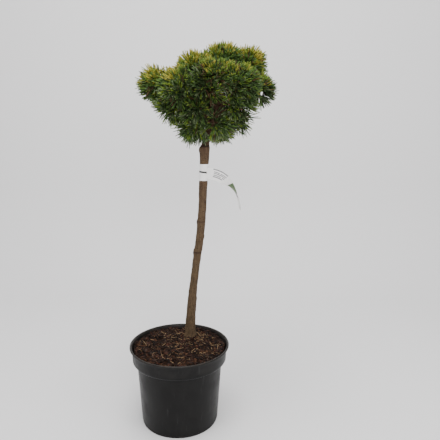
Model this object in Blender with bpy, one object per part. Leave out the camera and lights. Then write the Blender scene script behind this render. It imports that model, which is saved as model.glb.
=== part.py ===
"""Standard dwarf pine: a bushy crown grafted on a bare stem, in a round nursery pot. Metres, +Z up.

The origin is the centre of the pot's underside. The stem rises behind the pot's centre and leans to
+X. The crown is a set of needle masses. Each mass owns a space of its own: the part of a sphere that
lies nearer to it than to its neighbours, weighed by their sizes, so that no two masses can meet.
"""

import math
import random

import bmesh
import bpy
from mathutils import Quaternion, Vector, noise

CLEAR = 0.0003  # gap between neighbouring solids

# Pot: a blow-moulded 7.5 litre container
POT_HEIGHT = 0.210
RIM_RADIUS = 0.1312
FOOT_RADIUS = 0.1000
NECK_RADIUS = 0.1120
NECK_HEIGHT = 0.1660
COLLAR_RADIUS = 0.1235
COLLAR_HEIGHT = 0.1708
POT_WALL = 0.0022
FOOT_EDGE = 0.0025
FOOT_FLARE = 0.0012  # the wall starts this much further out than the flat underside
WAIST_HEIGHT = 0.080
RIM_ROLL = 0.0020  # how far the collar leans out below the rim
RIM_PROFILE = ((0.0006, 0.0046), (0.0, 0.0024), (0.0008, 0.0005), (0.0026, 0.0))  # (inset, drop)
RIM_DROP = 0.0060
WALL_LIFT = 0.0010  # the inner wall turns this much higher than the outer one
POT_STEPS = 40
DRAIN_HOLES = 8
DRAIN_RADIUS = 0.006
DRAIN_CIRCLE = 0.078

# Bark compost
SOIL_LEVEL = 0.203
SOIL_LUMP = 0.0035
SOIL_GRAIN = 55.0
SOIL_FLAT = 0.030  # level this far round the stem's foot
SOIL_STEPS = 30
SOIL_RINGS = (0.110, 0.094, 0.078, 0.060, 0.042, 0.022)

# Stem: (height, shift to +X, diameter), from the compost to the tip inside the crown
STEM_Y = 0.064
STEM_SIDES = 12
STEM = (
    (0.2033, 0.0234, 0.0345), (0.2090, 0.0234, 0.0312), (0.2200, 0.0240, 0.0295), (0.2449, 0.0249, 0.0267),
    (0.2896, 0.0277, 0.0246), (0.3337, 0.0316, 0.0222), (0.3772, 0.0371, 0.0203), (0.4203, 0.0425, 0.0196),
    (0.4628, 0.0488, 0.0200), (0.5049, 0.0535, 0.0194), (0.5350, 0.0560, 0.0198), (0.5685, 0.0581, 0.0192),
    (0.6050, 0.0595, 0.0198), (0.6293, 0.0602, 0.0202), (0.6590, 0.0618, 0.0205), (0.6834, 0.0628, 0.0212),
    (0.7000, 0.0638, 0.0226), (0.7130, 0.0642, 0.0236), (0.7228, 0.0648, 0.0228), (0.7300, 0.0660, 0.0178),
    (0.7443, 0.0677, 0.0163), (0.7651, 0.0739, 0.0155), (0.7864, 0.0834, 0.0141), (0.8080, 0.0943, 0.0128),
    (0.8297, 0.1011, 0.0115), (0.8440, 0.1030, 0.0104),
)
ROOT_LOBES = 5
ROOT_SPREAD = 0.14
ROOT_HEIGHT = 0.020
ROOT_TURN = 0.6
RING_GAP = 0.0045  # least height between two rings of the stem
# Old branch scars and the shoulder of the graft: (height, angle from +X in degrees, swelling, size)
KNOTS = (
    (0.445, 180, 0.0035, 0.010),
    (0.527, 165, 0.0028, 0.009),
    (0.485, 20, 0.0022, 0.008),
    (0.380, 250, 0.0020, 0.009),
    (0.600, 300, 0.0018, 0.008),
    (0.312, 20, 0.0022, 0.010),
    (0.719, 190, 0.0026, 0.010),
)

# Loop label round the stem
LABEL_LOW = 0.637
LABEL_HIGH = 0.680
LABEL_THICK = 0.0008
LABEL_SIDES = 20
LABEL_STEPS = 14
LABEL_TURN = math.radians(80.0)
TAIL_HALF = 0.0150  # half the width of the free end
# The free end leaves the stem and bends down: (x, y from the stem, z)
LABEL_BEND = (
    (0.0665, -0.0094, 0.6566),
    (0.1205, -0.0190, 0.6563),
    (0.1568, 0.0016, 0.6110),
    (0.1584, 0.0061, 0.5598),
)

# Needle masses: (name, centre, reach, height on the stem where its bough springs, 0 for no bough)
MASSES = (
    ("left", (-0.0550, 0.0540, 0.8785), 0.0530, 0.792),
    ("low_left", (-0.0105, 0.0335, 0.8255), 0.0530, 0.774),
    ("upper_left", (0.0370, 0.0690, 0.9110), 0.0570, 0.822),
    ("top", (0.1070, 0.0820, 0.9360), 0.0570, 0.844),
    ("upper_right", (0.1770, 0.0870, 0.9340), 0.0490, 0.831),
    ("right", (0.2010, 0.0590, 0.8650), 0.0475, 0.808),
    ("front", (0.0840, -0.0060, 0.8800), 0.0600, 0.829),
    ("front_right", (0.1480, 0.0020, 0.8740), 0.0570, 0.820),
    ("front_left", (0.0080, 0.0000, 0.8620), 0.0580, 0.806),
    ("mid_front", (0.0440, 0.0100, 0.8260), 0.0480, 0.783),
    ("mid_right", (0.1480, 0.0250, 0.8350), 0.0490, 0.796),
    ("low_front", (0.0400, 0.0340, 0.7790), 0.0500, 0.0),
    ("low_right", (0.1430, 0.0740, 0.7990), 0.0500, 0.782),
    ("under", (0.1020, 0.0980, 0.7800), 0.0480, 0.0),
    ("low_middle", (0.0980, 0.0210, 0.7845), 0.0460, 0.0),
    ("back_left", (0.0220, 0.1400, 0.8850), 0.0640, 0.806),
    ("back_right", (0.1480, 0.1480, 0.8900), 0.0660, 0.817),
    ("back_low", (0.0780, 0.1420, 0.8320), 0.0600, 0.778),
)
DIRECT_HEIGHT = {"low_front": 0.757, "under": 0.762, "low_middle": 0.768}
BOUGH_RADIUS = 0.0042
BOUGH_TIP_RADIUS = 0.0030
BOUGH_SIDES = 7
BOUGH_STEPS = 6
BOUGH_LEVEL = 0.62  # a bough runs this share of its way out before it turns up
BOUGH_LIFT = 0.16
ENTRY = 0.72  # a bough ends at most this share of its mass's reach from the middle
ENTRY_ROOM = 0.004  # and this far inside the mass's own space
HUB = 0.30  # and the stalk inside the mass ends here
STALK_LEAD = 0.003
STALK_END = 0.004
STALK_RADII = (0.0026, 0.0026, 0.0024, 0.0012)
STALK_SIDES = 6

# Shoots and needles
HEART_SHARE = 0.52  # size of the dense heart inside a mass
HEART_LUMP = 0.12
HEART_GRAIN = 2.3
HEART_NEEDLE = 0.034
HEART_WANDER = 0.35
LIMB_MARGIN = 0.006  # a limb passing nearer than this cuts the heart
HEART_WHOLE = 0.80  # a facet that still faces away from the middle bears a needle
HEART_DETAIL = 2
HEART_WALL = 0.0012
SHOOT_TARGETS = 12
FACING = -0.10  # a shoot may turn this far back towards the crown's heart
CROWN_HEART = (0.078, 0.064, 0.845)
SHOOT_ROOM = 0.004
TIP_INSET = 0.025
SHOOT_SIDES = 5
TWIG_RADIUS = 0.0015
TWIG_SAG = 0.12
CORE_RADIUS = 0.0042
BRUSH = 0.030  # length of the shoot's end that bears needles
BRUSH_MOST = 0.72  # of the shoot's own length
BRUSH_LEVELS = 3
NEEDLE_LENGTH = 0.038
NEEDLE_SHORTEST = 0.88
NEEDLE_RADIUS = 0.0010
NEEDLE_SPACING = 0.0040
NEEDLE_SHARES = (1.0, 0.88, 0.76, 0.64, 0.52)  # a needle is shortened to fit, or left out
WIDE_OPENING = 80.0  # degrees between a needle and its shoot, low down
TIP_OPENING = 24.0
GOLDEN = math.pi * (3.0 - math.sqrt(5.0))

BLACK_PLASTIC = ("black_plastic", (0.018, 0.018, 0.020), 0.42)
BARK_COMPOST = ("bark_compost", (0.070, 0.030, 0.016), 0.95)
STEM_BARK = ("stem_bark", (0.130, 0.075, 0.042), 0.85)
WHITE_PLASTIC = ("white_plastic", (0.800, 0.800, 0.790), 0.40)
GOLD_NEEDLES = ("gold_needles", (0.230, 0.210, 0.030), 0.55)
GREEN_NEEDLES = ("green_needles", (0.060, 0.110, 0.028), 0.55)
DARK_NEEDLES = ("dark_needles", (0.028, 0.060, 0.020), 0.60)
GOLD_FROM = 0.900
GREEN_FROM = 0.840


def clear_scene():
    """Start from an empty file."""
    for obj in list(bpy.data.objects):
        bpy.data.objects.remove(obj, do_unlink=True)


def material(look):
    """One material per finish: (name, colour, roughness)."""
    name, colour, roughness = look
    found = bpy.data.materials.get(name)
    if found:
        return found
    made = bpy.data.materials.new(name)
    made.use_nodes = True
    shader = made.node_tree.nodes["Principled BSDF"]
    shader.inputs["Base Color"].default_value = (*colour, 1.0)
    shader.inputs["Roughness"].default_value = roughness
    shader.inputs["Metallic"].default_value = 0.0
    return made


def add_object(name, bm, look, smooth=True):
    """Turn a bmesh into a named object with its finish."""
    mesh = bpy.data.meshes.new(name)
    bm.to_mesh(mesh)
    bm.free()
    mesh.materials.append(material(look))
    if smooth:
        mesh.shade_smooth()
        mesh.set_sharp_from_angle(angle=math.radians(35))
    obj = bpy.data.objects.new(name, mesh)
    bpy.context.scene.collection.objects.link(obj)
    return obj


def boolean(obj, operation, cutters, solver="EXACT"):
    """Apply one Boolean with a collection of closed objects, then remove them."""
    group = bpy.data.collections.new("operands")
    bpy.context.scene.collection.children.link(group)
    for cutter in cutters:
        group.objects.link(cutter)
    modifier = obj.modifiers.new(operation.lower(), "BOOLEAN")
    modifier.operation = operation
    modifier.operand_type = "COLLECTION"
    modifier.collection = group
    modifier.solver = solver
    bpy.context.view_layer.objects.active = obj
    bpy.ops.object.modifier_apply(modifier=modifier.name)
    for cutter in cutters:
        bpy.data.objects.remove(cutter, do_unlink=True)
    bpy.data.collections.remove(group)


def keep_one_body(obj):
    """Keep the largest closed shell: loose scraps go, and sealed hollows are filled."""
    bm = bmesh.new()
    bm.from_mesh(obj.data)
    shells = []
    unseen = set(bm.verts)
    while unseen:
        shell = set()
        front = [unseen.pop()]
        while front:
            vert = front.pop()
            shell.add(vert)
            for edge in vert.link_edges:
                other = edge.other_vert(vert)
                if other in unseen:
                    unseen.discard(other)
                    front.append(other)
        shells.append(shell)
    shells.sort(key=len)
    for shell in shells[:-1]:
        bmesh.ops.delete(bm, geom=list(shell), context="VERTS")
    bm.to_mesh(obj.data)
    bm.free()
    return len(shells)


def carried_frames(path):
    """Tangent and two vectors across a path at each of its points, carried along without twist."""
    frames = []
    across = None
    for index, point in enumerate(path):
        before = path[max(index - 1, 0)]
        after = path[min(index + 1, len(path) - 1)]
        tangent = (after - before).normalized()
        if across is None:
            across = tangent.orthogonal()
        across = (across - tangent * across.dot(tangent)).normalized()
        frames.append((tangent, across, tangent.cross(across)))
    return frames


def skin(bm, path, radii, sides, swell=None):
    """Closed round skin over a path; a last radius of zero ends it in a point."""
    rings = []
    for index, (tangent, across, up) in enumerate(carried_frames(path)):
        if radii[index] == 0.0:
            rings.append([bm.verts.new(path[index])])
            continue
        ring = []
        for side in range(sides):
            angle = 2.0 * math.pi * side / sides
            outward = across * math.cos(angle) + up * math.sin(angle)
            radius = radii[index]
            if swell:
                radius = swell(path[index], outward, radius)
            ring.append(bm.verts.new(path[index] + outward * radius))
        rings.append(ring)
    for low, high in zip(rings, rings[1:]):
        for side in range(sides):
            after = (side + 1) % sides
            if len(high) == 1:
                bm.faces.new((low[side], low[after], high[0]))
            else:
                bm.faces.new((low[side], low[after], high[after], high[side]))
    bm.faces.new(reversed(rings[0]))
    if len(rings[-1]) > 1:
        bm.faces.new(rings[-1])


def limb(name, path, radii, sides, look, swell=None):
    """A closed limb as an object."""
    bm = bmesh.new()
    skin(bm, path, radii, sides, swell)
    return add_object(name, bm, look)


def bezier(start, lift, end, steps):
    """Points on a curve from start to end that is drawn towards lift."""
    points = []
    for step in range(steps + 1):
        t = step / steps
        points.append(start * (1 - t) ** 2 + lift * (2 * t * (1 - t)) + end * t * t)
    return points


def cubic(handles, t):
    """Point on the cubic curve of four handles."""
    a, b, c, d = (Vector(handle) for handle in handles)
    return a * (1 - t) ** 3 + b * (3 * t * (1 - t) ** 2) + c * (3 * t * t * (1 - t)) + d * t ** 3


def blend(first, last, count):
    """Evenly graded values."""
    return [first + (last - first) * index / (count - 1) for index in range(count)]


# ---- Pot and compost ----

def turned(profile, steps):
    """Solid of revolution about Z from a profile of (radius, height) that starts and ends at 0."""
    bm = bmesh.new()
    verts = [bm.verts.new((radius, 0.0, height)) for radius, height in profile]
    edges = [bm.edges.new(pair) for pair in zip(verts, verts[1:])]
    bmesh.ops.spin(bm, geom=verts + edges, cent=(0, 0, 0), axis=(0, 0, 1), angle=2.0 * math.pi, steps=steps)
    bmesh.ops.remove_doubles(bm, verts=bm.verts, dist=0.00002)
    bmesh.ops.recalc_face_normals(bm, faces=bm.faces)
    return bm


def wall_radius(height):
    """Outer radius of the pot's tapered body."""
    foot = FOOT_RADIUS + FOOT_FLARE
    return foot + (NECK_RADIUS - foot) * height / NECK_HEIGHT


def make_pot():
    """Tapered body, collar and rolled rim, with drain holes round its base."""
    collar_top = COLLAR_RADIUS + RIM_ROLL
    outside = [
        (0.0, 0.0),
        (FOOT_RADIUS, 0.0),
        (wall_radius(FOOT_EDGE), FOOT_EDGE),
        (wall_radius(WAIST_HEIGHT), WAIST_HEIGHT),
        (NECK_RADIUS, NECK_HEIGHT),
        (COLLAR_RADIUS, COLLAR_HEIGHT),
        (collar_top, POT_HEIGHT - RIM_DROP),
    ]
    rim = [(RIM_RADIUS - inset, POT_HEIGHT - drop) for inset, drop in RIM_PROFILE]
    inside = [
        (collar_top - 0.5 * POT_WALL, POT_HEIGHT - 0.7 * POT_WALL),
        (collar_top - POT_WALL, POT_HEIGHT - RIM_DROP),
        (COLLAR_RADIUS - POT_WALL, COLLAR_HEIGHT + WALL_LIFT),
        (NECK_RADIUS - POT_WALL, NECK_HEIGHT + WALL_LIFT),
        (wall_radius(WAIST_HEIGHT) - POT_WALL, WAIST_HEIGHT),
        (wall_radius(FOOT_EDGE) - POT_WALL, POT_WALL),
        (0.0, POT_WALL),
    ]
    profile = outside + rim + inside
    pot = add_object("pot", turned(profile, POT_STEPS), BLACK_PLASTIC)
    drills = []
    for hole in range(DRAIN_HOLES):
        angle = 2.0 * math.pi * (hole + 0.5) / DRAIN_HOLES
        middle = Vector((DRAIN_CIRCLE * math.cos(angle), DRAIN_CIRCLE * math.sin(angle), 0.0))
        past = Vector((0.0, 0.0, POT_WALL))
        path = [middle - past, middle + 2.0 * past]
        drills.append(limb("drill", path, [DRAIN_RADIUS] * 2, 12, BLACK_PLASTIC))
    boolean(pot, "DIFFERENCE", drills)
    return pot


def make_compost():
    """Compost that fills the pot, lumpy on top and level where the stem's foot stands."""
    side = POT_WALL + CLEAR
    profile = [
        (0.0, POT_WALL + CLEAR),
        (wall_radius(FOOT_EDGE) - side, POT_WALL + CLEAR),
        (wall_radius(WAIST_HEIGHT) - side, WAIST_HEIGHT),
        (NECK_RADIUS - side, NECK_HEIGHT + WALL_LIFT),
        (COLLAR_RADIUS - side, COLLAR_HEIGHT + 2.0 * WALL_LIFT),
        (COLLAR_RADIUS - side + 0.5 * RIM_ROLL, SOIL_LEVEL - RIM_ROLL),
    ]
    profile += [(radius, SOIL_LEVEL) for radius in SOIL_RINGS]
    profile.append((0.0, SOIL_LEVEL))
    bm = turned(profile, SOIL_STEPS)
    foot = stem_point(STEM[0][0])
    for vert in bm.verts:
        if vert.co.z < SOIL_LEVEL - 0.0001:
            continue
        away = (vert.co.xy - foot.xy).length
        if away < SOIL_FLAT:
            vert.co.z = SOIL_LEVEL
            continue
        share = min(1.5 * (away - SOIL_FLAT) / SOIL_FLAT + 0.3, 1.0)
        lump = noise.noise(Vector((vert.co.x, vert.co.y, 0.0)) * SOIL_GRAIN)
        vert.co.z += share * SOIL_LUMP * lump
    return add_object("compost", bm, BARK_COMPOST)


# ---- Stem, boughs and label ----

def stem_point(height):
    """Point on the stem's axis at a height."""
    for low, high in zip(STEM, STEM[1:]):
        if height <= high[0]:
            break
    share = (height - low[0]) / (high[0] - low[0])
    return Vector((low[1] + (high[1] - low[1]) * share, STEM_Y, height))


def stem_radius(height):
    """Radius of the stem at a height, without its knots."""
    for low, high in zip(STEM, STEM[1:]):
        if height <= high[0]:
            break
    share = (height - low[0]) / (high[0] - low[0])
    return 0.5 * (low[2] + (high[2] - low[2]) * share)


def stem_swell(point, outward, radius):
    """Root lobes at the foot and knots further up."""
    angle = math.atan2(outward.y, outward.x)
    foot = math.exp(-(point.z - SOIL_LEVEL) / ROOT_HEIGHT)
    radius *= 1.0 + ROOT_SPREAD * foot * math.cos(ROOT_LOBES * angle + ROOT_TURN)
    for height, heading, swelling, size in KNOTS:
        turn = math.remainder(angle - math.radians(heading), 2.0 * math.pi) * radius
        far = ((point.z - height) ** 2 + turn ** 2) / size ** 2
        radius += swelling * math.exp(-2.0 * far)
    return radius


def stem_path():
    """Ring centres up the stem, closer together round the knots."""
    heights = [row[0] for row in STEM]
    for height, heading, swelling, size in KNOTS:
        heights += [height - 0.5 * size, height, height + 0.5 * size]
    heights.sort()
    kept = [heights[0]]
    for height in heights[1:]:
        if height - kept[-1] > RING_GAP:
            kept.append(height)
    kept[-1] = STEM[-1][0]
    return [stem_point(height) for height in kept]


def make_stem(name="stem", grow=0.0):
    """The stem from the compost to its tip inside the crown; grow makes a fatter cutting copy."""
    path = stem_path()
    radii = [stem_radius(point.z) + grow for point in path]
    if grow:
        path[-1] = path[-1] + Vector((0.0, 0.0, grow))
    return limb(name, path, radii, STEM_SIDES, STEM_BARK, stem_swell)


class Mass:
    """One mass of needles and the bough that carries it."""

    def __init__(self, name, centre, reach, spring):
        self.name = name
        self.centre = Vector(centre)
        self.reach = reach
        self.spring = spring
        self.height = spring if spring else DIRECT_HEIGHT[name]
        self.root = stem_point(self.height)
        self.inward = (self.root - self.centre).normalized()
        self.hub = self.centre + self.inward * reach * HUB
        self.bough = []
        self.stalk = []

    def lay_out(self, masses):
        """The bough runs to where it enters the mass's own space, and a stalk carries on inside."""
        if self.spring:
            share = ENTRY
            while share > HUB and room_in(self, self.at(share), masses) < ENTRY_ROOM:
                share -= 0.01
            entry = self.at(share)
            span = (entry - self.root).length
            level = Vector((entry.x - self.root.x, entry.y - self.root.y, 0.0))
            lift = self.root + level * BOUGH_LEVEL + Vector((0.0, 0.0, span * BOUGH_LIFT))
            self.bough = bezier(self.root, lift, entry, BOUGH_STEPS)
            heading = (self.bough[-1] - self.bough[-2]).normalized()
            self.stalk = [entry + heading * CLEAR, entry + heading * STALK_LEAD]
        else:
            lead = stem_radius(self.height) + STALK_LEAD
            self.stalk = [self.root, self.root - self.inward * lead]
        self.stalk += [self.hub, self.hub - self.inward * STALK_END]

    def at(self, share):
        """Point between the middle and the stem at a share of the reach."""
        return self.centre + self.inward * self.reach * share

    def bough_radii(self):
        """Radius at each point of the bough; the one on the stem's tip carries on its taper."""
        foot = 0.48 * STEM[-1][2] if self.spring >= STEM[-1][0] else BOUGH_RADIUS
        return blend(foot, BOUGH_TIP_RADIUS, BOUGH_STEPS + 1)


def make_bough(mass):
    """Tapering limb whose foot is cut to sit against the stem."""
    path = list(mass.bough)
    path[0] = path[0] - (path[1] - path[0]).normalized() * CLEAR
    bough = limb("bough_" + mass.name, path, mass.bough_radii(), BOUGH_SIDES, STEM_BARK)
    boolean(bough, "DIFFERENCE", [make_stem("cutter", CLEAR)])
    keep_one_body(bough)
    return bough


def make_label():
    """Plastic strip looped round the stem, its free end hanging to one side."""
    rings = []
    for height in (LABEL_LOW, 0.5 * (LABEL_LOW + LABEL_HIGH), LABEL_HIGH):
        centre = stem_point(height)
        inner = stem_radius(height) + 2.0 * CLEAR
        rings.append((centre, inner))
    bm = bmesh.new()
    grid = []
    for skin_out in (0.0, LABEL_THICK):
        for centre, inner in rings:
            ring = []
            for side in range(LABEL_SIDES):
                angle = 2.0 * math.pi * side / LABEL_SIDES
                outward = Vector((math.cos(angle), math.sin(angle), 0.0))
                ring.append(bm.verts.new(centre + outward * (inner + skin_out)))
            grid.append(ring)
    inner_low, inner_mid, inner_high, outer_low, outer_mid, outer_high = grid
    loop = (inner_low, outer_low, outer_mid, outer_high, inner_high, inner_mid, inner_low)
    for first, second in zip(loop, loop[1:]):
        for side in range(LABEL_SIDES):
            after = (side + 1) % LABEL_SIDES
            bm.faces.new((first[side], first[after], second[after], second[side]))
    bmesh.ops.recalc_face_normals(bm, faces=bm.faces)
    label = add_object("stem_label", bm, WHITE_PLASTIC)

    bm = bmesh.new()
    sections = []
    behind = Vector((0.0, STEM_Y, 0.0))
    middles = [cubic(LABEL_BEND, step / LABEL_STEPS) + behind for step in range(LABEL_STEPS + 1)]
    for step, (tangent, across, up) in enumerate(carried_frames(middles)):
        width = tangent.cross(Vector((0.0, 1.0, 0.0))).normalized()
        turn = min(max(1.6 * (step / LABEL_STEPS - 0.12), 0.0), 1.0)
        width.rotate(Quaternion(tangent, LABEL_TURN * turn * turn * (3.0 - 2.0 * turn)))
        face = tangent.cross(width) * (0.5 * LABEL_THICK)
        width *= TAIL_HALF
        corners = (width + face, width - face, -width - face, face - width)
        sections.append([bm.verts.new(middles[step] + corner) for corner in corners])
    for low, high in zip(sections, sections[1:]):
        for side in range(4):
            after = (side + 1) % 4
            bm.faces.new((low[side], low[after], high[after], high[side]))
    bm.faces.new(sections[0])
    bm.faces.new(sections[-1])
    bmesh.ops.recalc_face_normals(bm, faces=bm.faces)
    tail = add_object("tail", bm, WHITE_PLASTIC)
    boolean(label, "UNION", [tail])
    keep_one_body(label)
    return label


# ---- Needle masses ----

def room_in(mass, point, masses):
    """How far a point lies inside a mass's own space; below zero it is outside."""
    room = mass.reach - (point - mass.centre).length
    own = (point - mass.centre).length_squared - mass.reach ** 2
    for other in masses:
        if other is mass:
            continue
        theirs = (point - other.centre).length_squared - other.reach ** 2
        room = min(room, (theirs - own) / (2.0 * (other.centre - mass.centre).length))
    return room


def segment_distance(a, b, c, d):
    """Shortest distance between the segments a-b and c-d."""
    along, across, offset = b - a, d - c, a - c
    aa, bb, ab = along.length_squared, across.length_squared, along.dot(across)
    ao, bo = along.dot(offset), across.dot(offset)
    scale = aa * bb - ab * ab
    s = min(max((ab * bo - bb * ao) / scale, 0.0), 1.0) if scale > 1e-14 else 0.0
    t = (ab * s + bo) / bb
    if t < 0.0 or t > 1.0:
        t = min(max(t, 0.0), 1.0)
        s = min(max((ab * t - ao) / aa, 0.0), 1.0)
    return (a + along * s - c - across * t).length


def clear_of_limbs(path, radius, limbs):
    """Whether a twig or needle keeps its distance from the stem and every bough."""
    for a, b in zip(path, path[1:]):
        for points, radii in limbs:
            for index in range(len(points) - 1):
                fat = max(radii[index], radii[index + 1]) + radius + 2.0 * CLEAR
                if segment_distance(a, b, points[index], points[index + 1]) < fat:
                    return False
    return True


def fits(mass, masses, limbs, path, radius):
    """Whether a path of a given thickness stays in its mass's space and off the limbs."""
    if min(room_in(mass, point, masses) for point in path) < radius + CLEAR:
        return False
    return clear_of_limbs(path, radius, limbs)


def even_directions(count, chance):
    """Directions spread evenly over a sphere, turned by chance."""
    start = chance.uniform(0.0, 2.0 * math.pi)
    directions = []
    for index in range(count):
        z = 1.0 - 2.0 * (index + 0.5) / count
        flat = math.sqrt(1.0 - z * z)
        angle = start + GOLDEN * index
        directions.append(Vector((flat * math.cos(angle), flat * math.sin(angle), z)))
    return directions


def shoot_paths(mass, masses, limbs):
    """The mass's twigs: each springs from the nearest node grown so far and bends upwards."""
    chance = random.Random("shoots of " + mass.name)
    outward = (mass.centre - Vector(CROWN_HEART)).normalized()
    nodes = [mass.hub]
    shoots = []
    for direction in even_directions(SHOOT_TARGETS, chance):
        tip = mass.centre + direction * (mass.reach - TIP_INSET)
        if direction.dot(outward) < FACING or room_in(mass, tip, masses) < SHOOT_ROOM:
            continue
        node = min(nodes, key=lambda known: (known - tip).length)
        lift = node.lerp(tip, 0.5) - Vector((0.0, 0.0, (tip - node).length * TWIG_SAG))
        path = bezier(node, lift, tip, 4)
        if fits(mass, masses, limbs, path, CORE_RADIUS * 0.5):
            shoots.append(path)
            nodes.append(path[1])
    return shoots


def shoot_rings(path):
    """Ring centres along a shoot: two steps of bare twig, then the levels that bear needles."""
    length = sum((b - a).length for a, b in zip(path, path[1:]))
    brush = min(BRUSH / length, BRUSH_MOST)
    shares = [0.0, 0.5 * (1.0 - brush)]
    shares += [1.0 - brush * (1.0 - level / BRUSH_LEVELS) for level in range(BRUSH_LEVELS + 1)]
    start, lift, end = path[0], path[2] * 2.0 - (path[0] + path[-1]) * 0.5, path[-1]
    return [start * (1 - t) ** 2 + lift * (2 * t * (1 - t)) + end * t * t for t in shares]


def draw_needle(bm, face, heading, length, allowed):
    """Draw a facet out into a needle that stays where it is allowed."""
    root = face.calc_center_median()
    for share in NEEDLE_SHARES:
        apex = root + heading * length * share
        if allowed((root, apex), NEEDLE_RADIUS):
            point = bm.verts.new(apex)
            corners = list(face.verts)
            bm.faces.remove(face)
            for first, second in zip(corners, corners[1:] + corners[:1]):
                bm.faces.new((first, second, point))
            return


def grow_shoot(path, chance, allowed):
    """A twig that thickens into a slim core, with a needle drawn out of each of the core's facets."""
    rings = shoot_rings(path)
    frames = carried_frames(rings)
    radii = [TWIG_RADIUS, TWIG_RADIUS, 0.8 * CORE_RADIUS] + [CORE_RADIUS] * (BRUSH_LEVELS - 1) + [0.0]
    bm = bmesh.new()
    skin(bm, rings, radii, SHOOT_SIDES)
    for face in list(bm.faces):
        middle = face.calc_center_median()
        if (middle - rings[2]).dot(frames[2][0]) <= 0.0:
            continue
        level = min(range(2, len(rings)), key=lambda index: (rings[index] - middle).length)
        tangent = frames[level][0]
        outward = middle - rings[level]
        outward = (outward - tangent * outward.dot(tangent)).normalized()
        share = min((middle - rings[2]).length / BRUSH, 1.0)
        opening = math.radians(WIDE_OPENING + (TIP_OPENING - WIDE_OPENING) * share)
        heading = tangent * math.cos(opening) + outward * math.sin(opening)
        draw_needle(bm, face, heading, NEEDLE_LENGTH * chance.uniform(NEEDLE_SHORTEST, 1.0), allowed)
    return bm


def make_heart(mass, masses, limbs, look, allowed):
    """Dense heart of a mass, cut clear of the limbs that pass through, with needles on its outside."""
    bm = bmesh.new()
    bmesh.ops.create_icosphere(bm, subdivisions=HEART_DETAIL, radius=1.0)
    for vert in bm.verts:
        direction = vert.co.normalized()
        lump = 1.0 + HEART_LUMP * noise.noise(direction * HEART_GRAIN + mass.centre / mass.reach)
        away = mass.reach * HEART_SHARE * lump
        while away > STALK_END and room_in(mass, mass.centre + direction * away, masses) < HEART_WALL:
            away -= 0.5 * HEART_WALL
        vert.co = mass.centre + direction * away
    cutters = []
    for points, radii in limbs:
        near = min((point - mass.centre).length for point in points)
        if near < mass.reach * HEART_SHARE * (1.0 + HEART_LUMP) + LIMB_MARGIN:
            fat = [radius + 2.0 * CLEAR for radius in radii]
            cutters.append(limb("cutter", points, fat, BOUGH_SIDES, look))
    heart = add_object("heart", bm, look)
    if cutters:
        boolean(heart, "DIFFERENCE", cutters)
        keep_one_body(heart)
    chance = random.Random("heart of " + mass.name)
    outward = (mass.centre - Vector(CROWN_HEART)).normalized()
    bm = bmesh.new()
    bm.from_mesh(heart.data)
    for face in list(bm.faces):
        heading = (face.calc_center_median() - mass.centre).normalized()
        whole = len(face.verts) == 3 and face.normal.dot(heading) > HEART_WHOLE
        if whole and heading.dot(outward) > FACING:
            wander = Vector((chance.uniform(-1, 1), chance.uniform(-1, 1), chance.uniform(-1, 1)))
            heading = (heading + wander * HEART_WANDER).normalized()
            draw_needle(bm, face, heading, HEART_NEEDLE, allowed)
    bm.to_mesh(heart.data)
    bm.free()
    return heart


def make_mass(mass, masses, limbs):
    """Stem, heart, shoots and needles of one mass, fused into one solid."""
    look = GOLD_NEEDLES if mass.centre.z > GOLD_FROM else DARK_NEEDLES
    if GREEN_FROM < mass.centre.z <= GOLD_FROM:
        look = GREEN_NEEDLES
    chance = random.Random("needles of " + mass.name)
    taken = []

    def allowed(needle, radius):
        """In the mass's space, off the limbs and not across a needle that is already there."""
        if not fits(mass, masses, limbs, needle, radius):
            return False
        if any(segment_distance(*needle, *other) < NEEDLE_SPACING for other in taken):
            return False
        taken.append(needle)
        return True

    shoots = shoot_paths(mass, masses, limbs)
    solid = limb("mass_" + mass.name, mass.stalk, STALK_RADII, STALK_SIDES, look)
    if not mass.spring:
        boolean(solid, "DIFFERENCE", [make_stem("cutter", CLEAR)])
    parts = [add_object("shoot", grow_shoot(path, chance, allowed), look) for path in shoots]
    parts.append(make_heart(mass, masses, limbs, look, allowed))
    boolean(solid, "UNION", parts)
    shells = keep_one_body(solid)
    print(mass.name, "shoots", len(shoots), "needles", len(taken), "shells", shells)
    return solid


def main():
    clear_scene()
    make_pot()
    make_compost()
    make_stem()
    make_label()
    masses = [Mass(*row) for row in MASSES]
    for mass in masses:
        mass.lay_out(masses)
    path = stem_path()
    limbs = [(path, [stem_radius(point.z) for point in path])]
    for mass in masses:
        if mass.spring:
            make_bough(mass)
            limbs.append((mass.bough, mass.bough_radii()))
    for mass in masses:
        stalks = [(other.stalk, STALK_RADII) for other in masses if other is not mass]
        make_mass(mass, masses, limbs + stalks)


main()
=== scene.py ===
# %% [markdown]
# # A standard dwarf pine in its nursery pot
# A bushy pine is grafted on a bare stem and stands in a round pot of bark compost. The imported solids
# give every place and size in metres, +Z up. This lesson dresses them: the pot is turned, the bark gets
# its relief, and the crown is grown twig by twig and needle by needle.

# %% Load the frame
import math
import random

import bpy
import numpy as np
from mathutils import Matrix, Vector, noise


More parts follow.
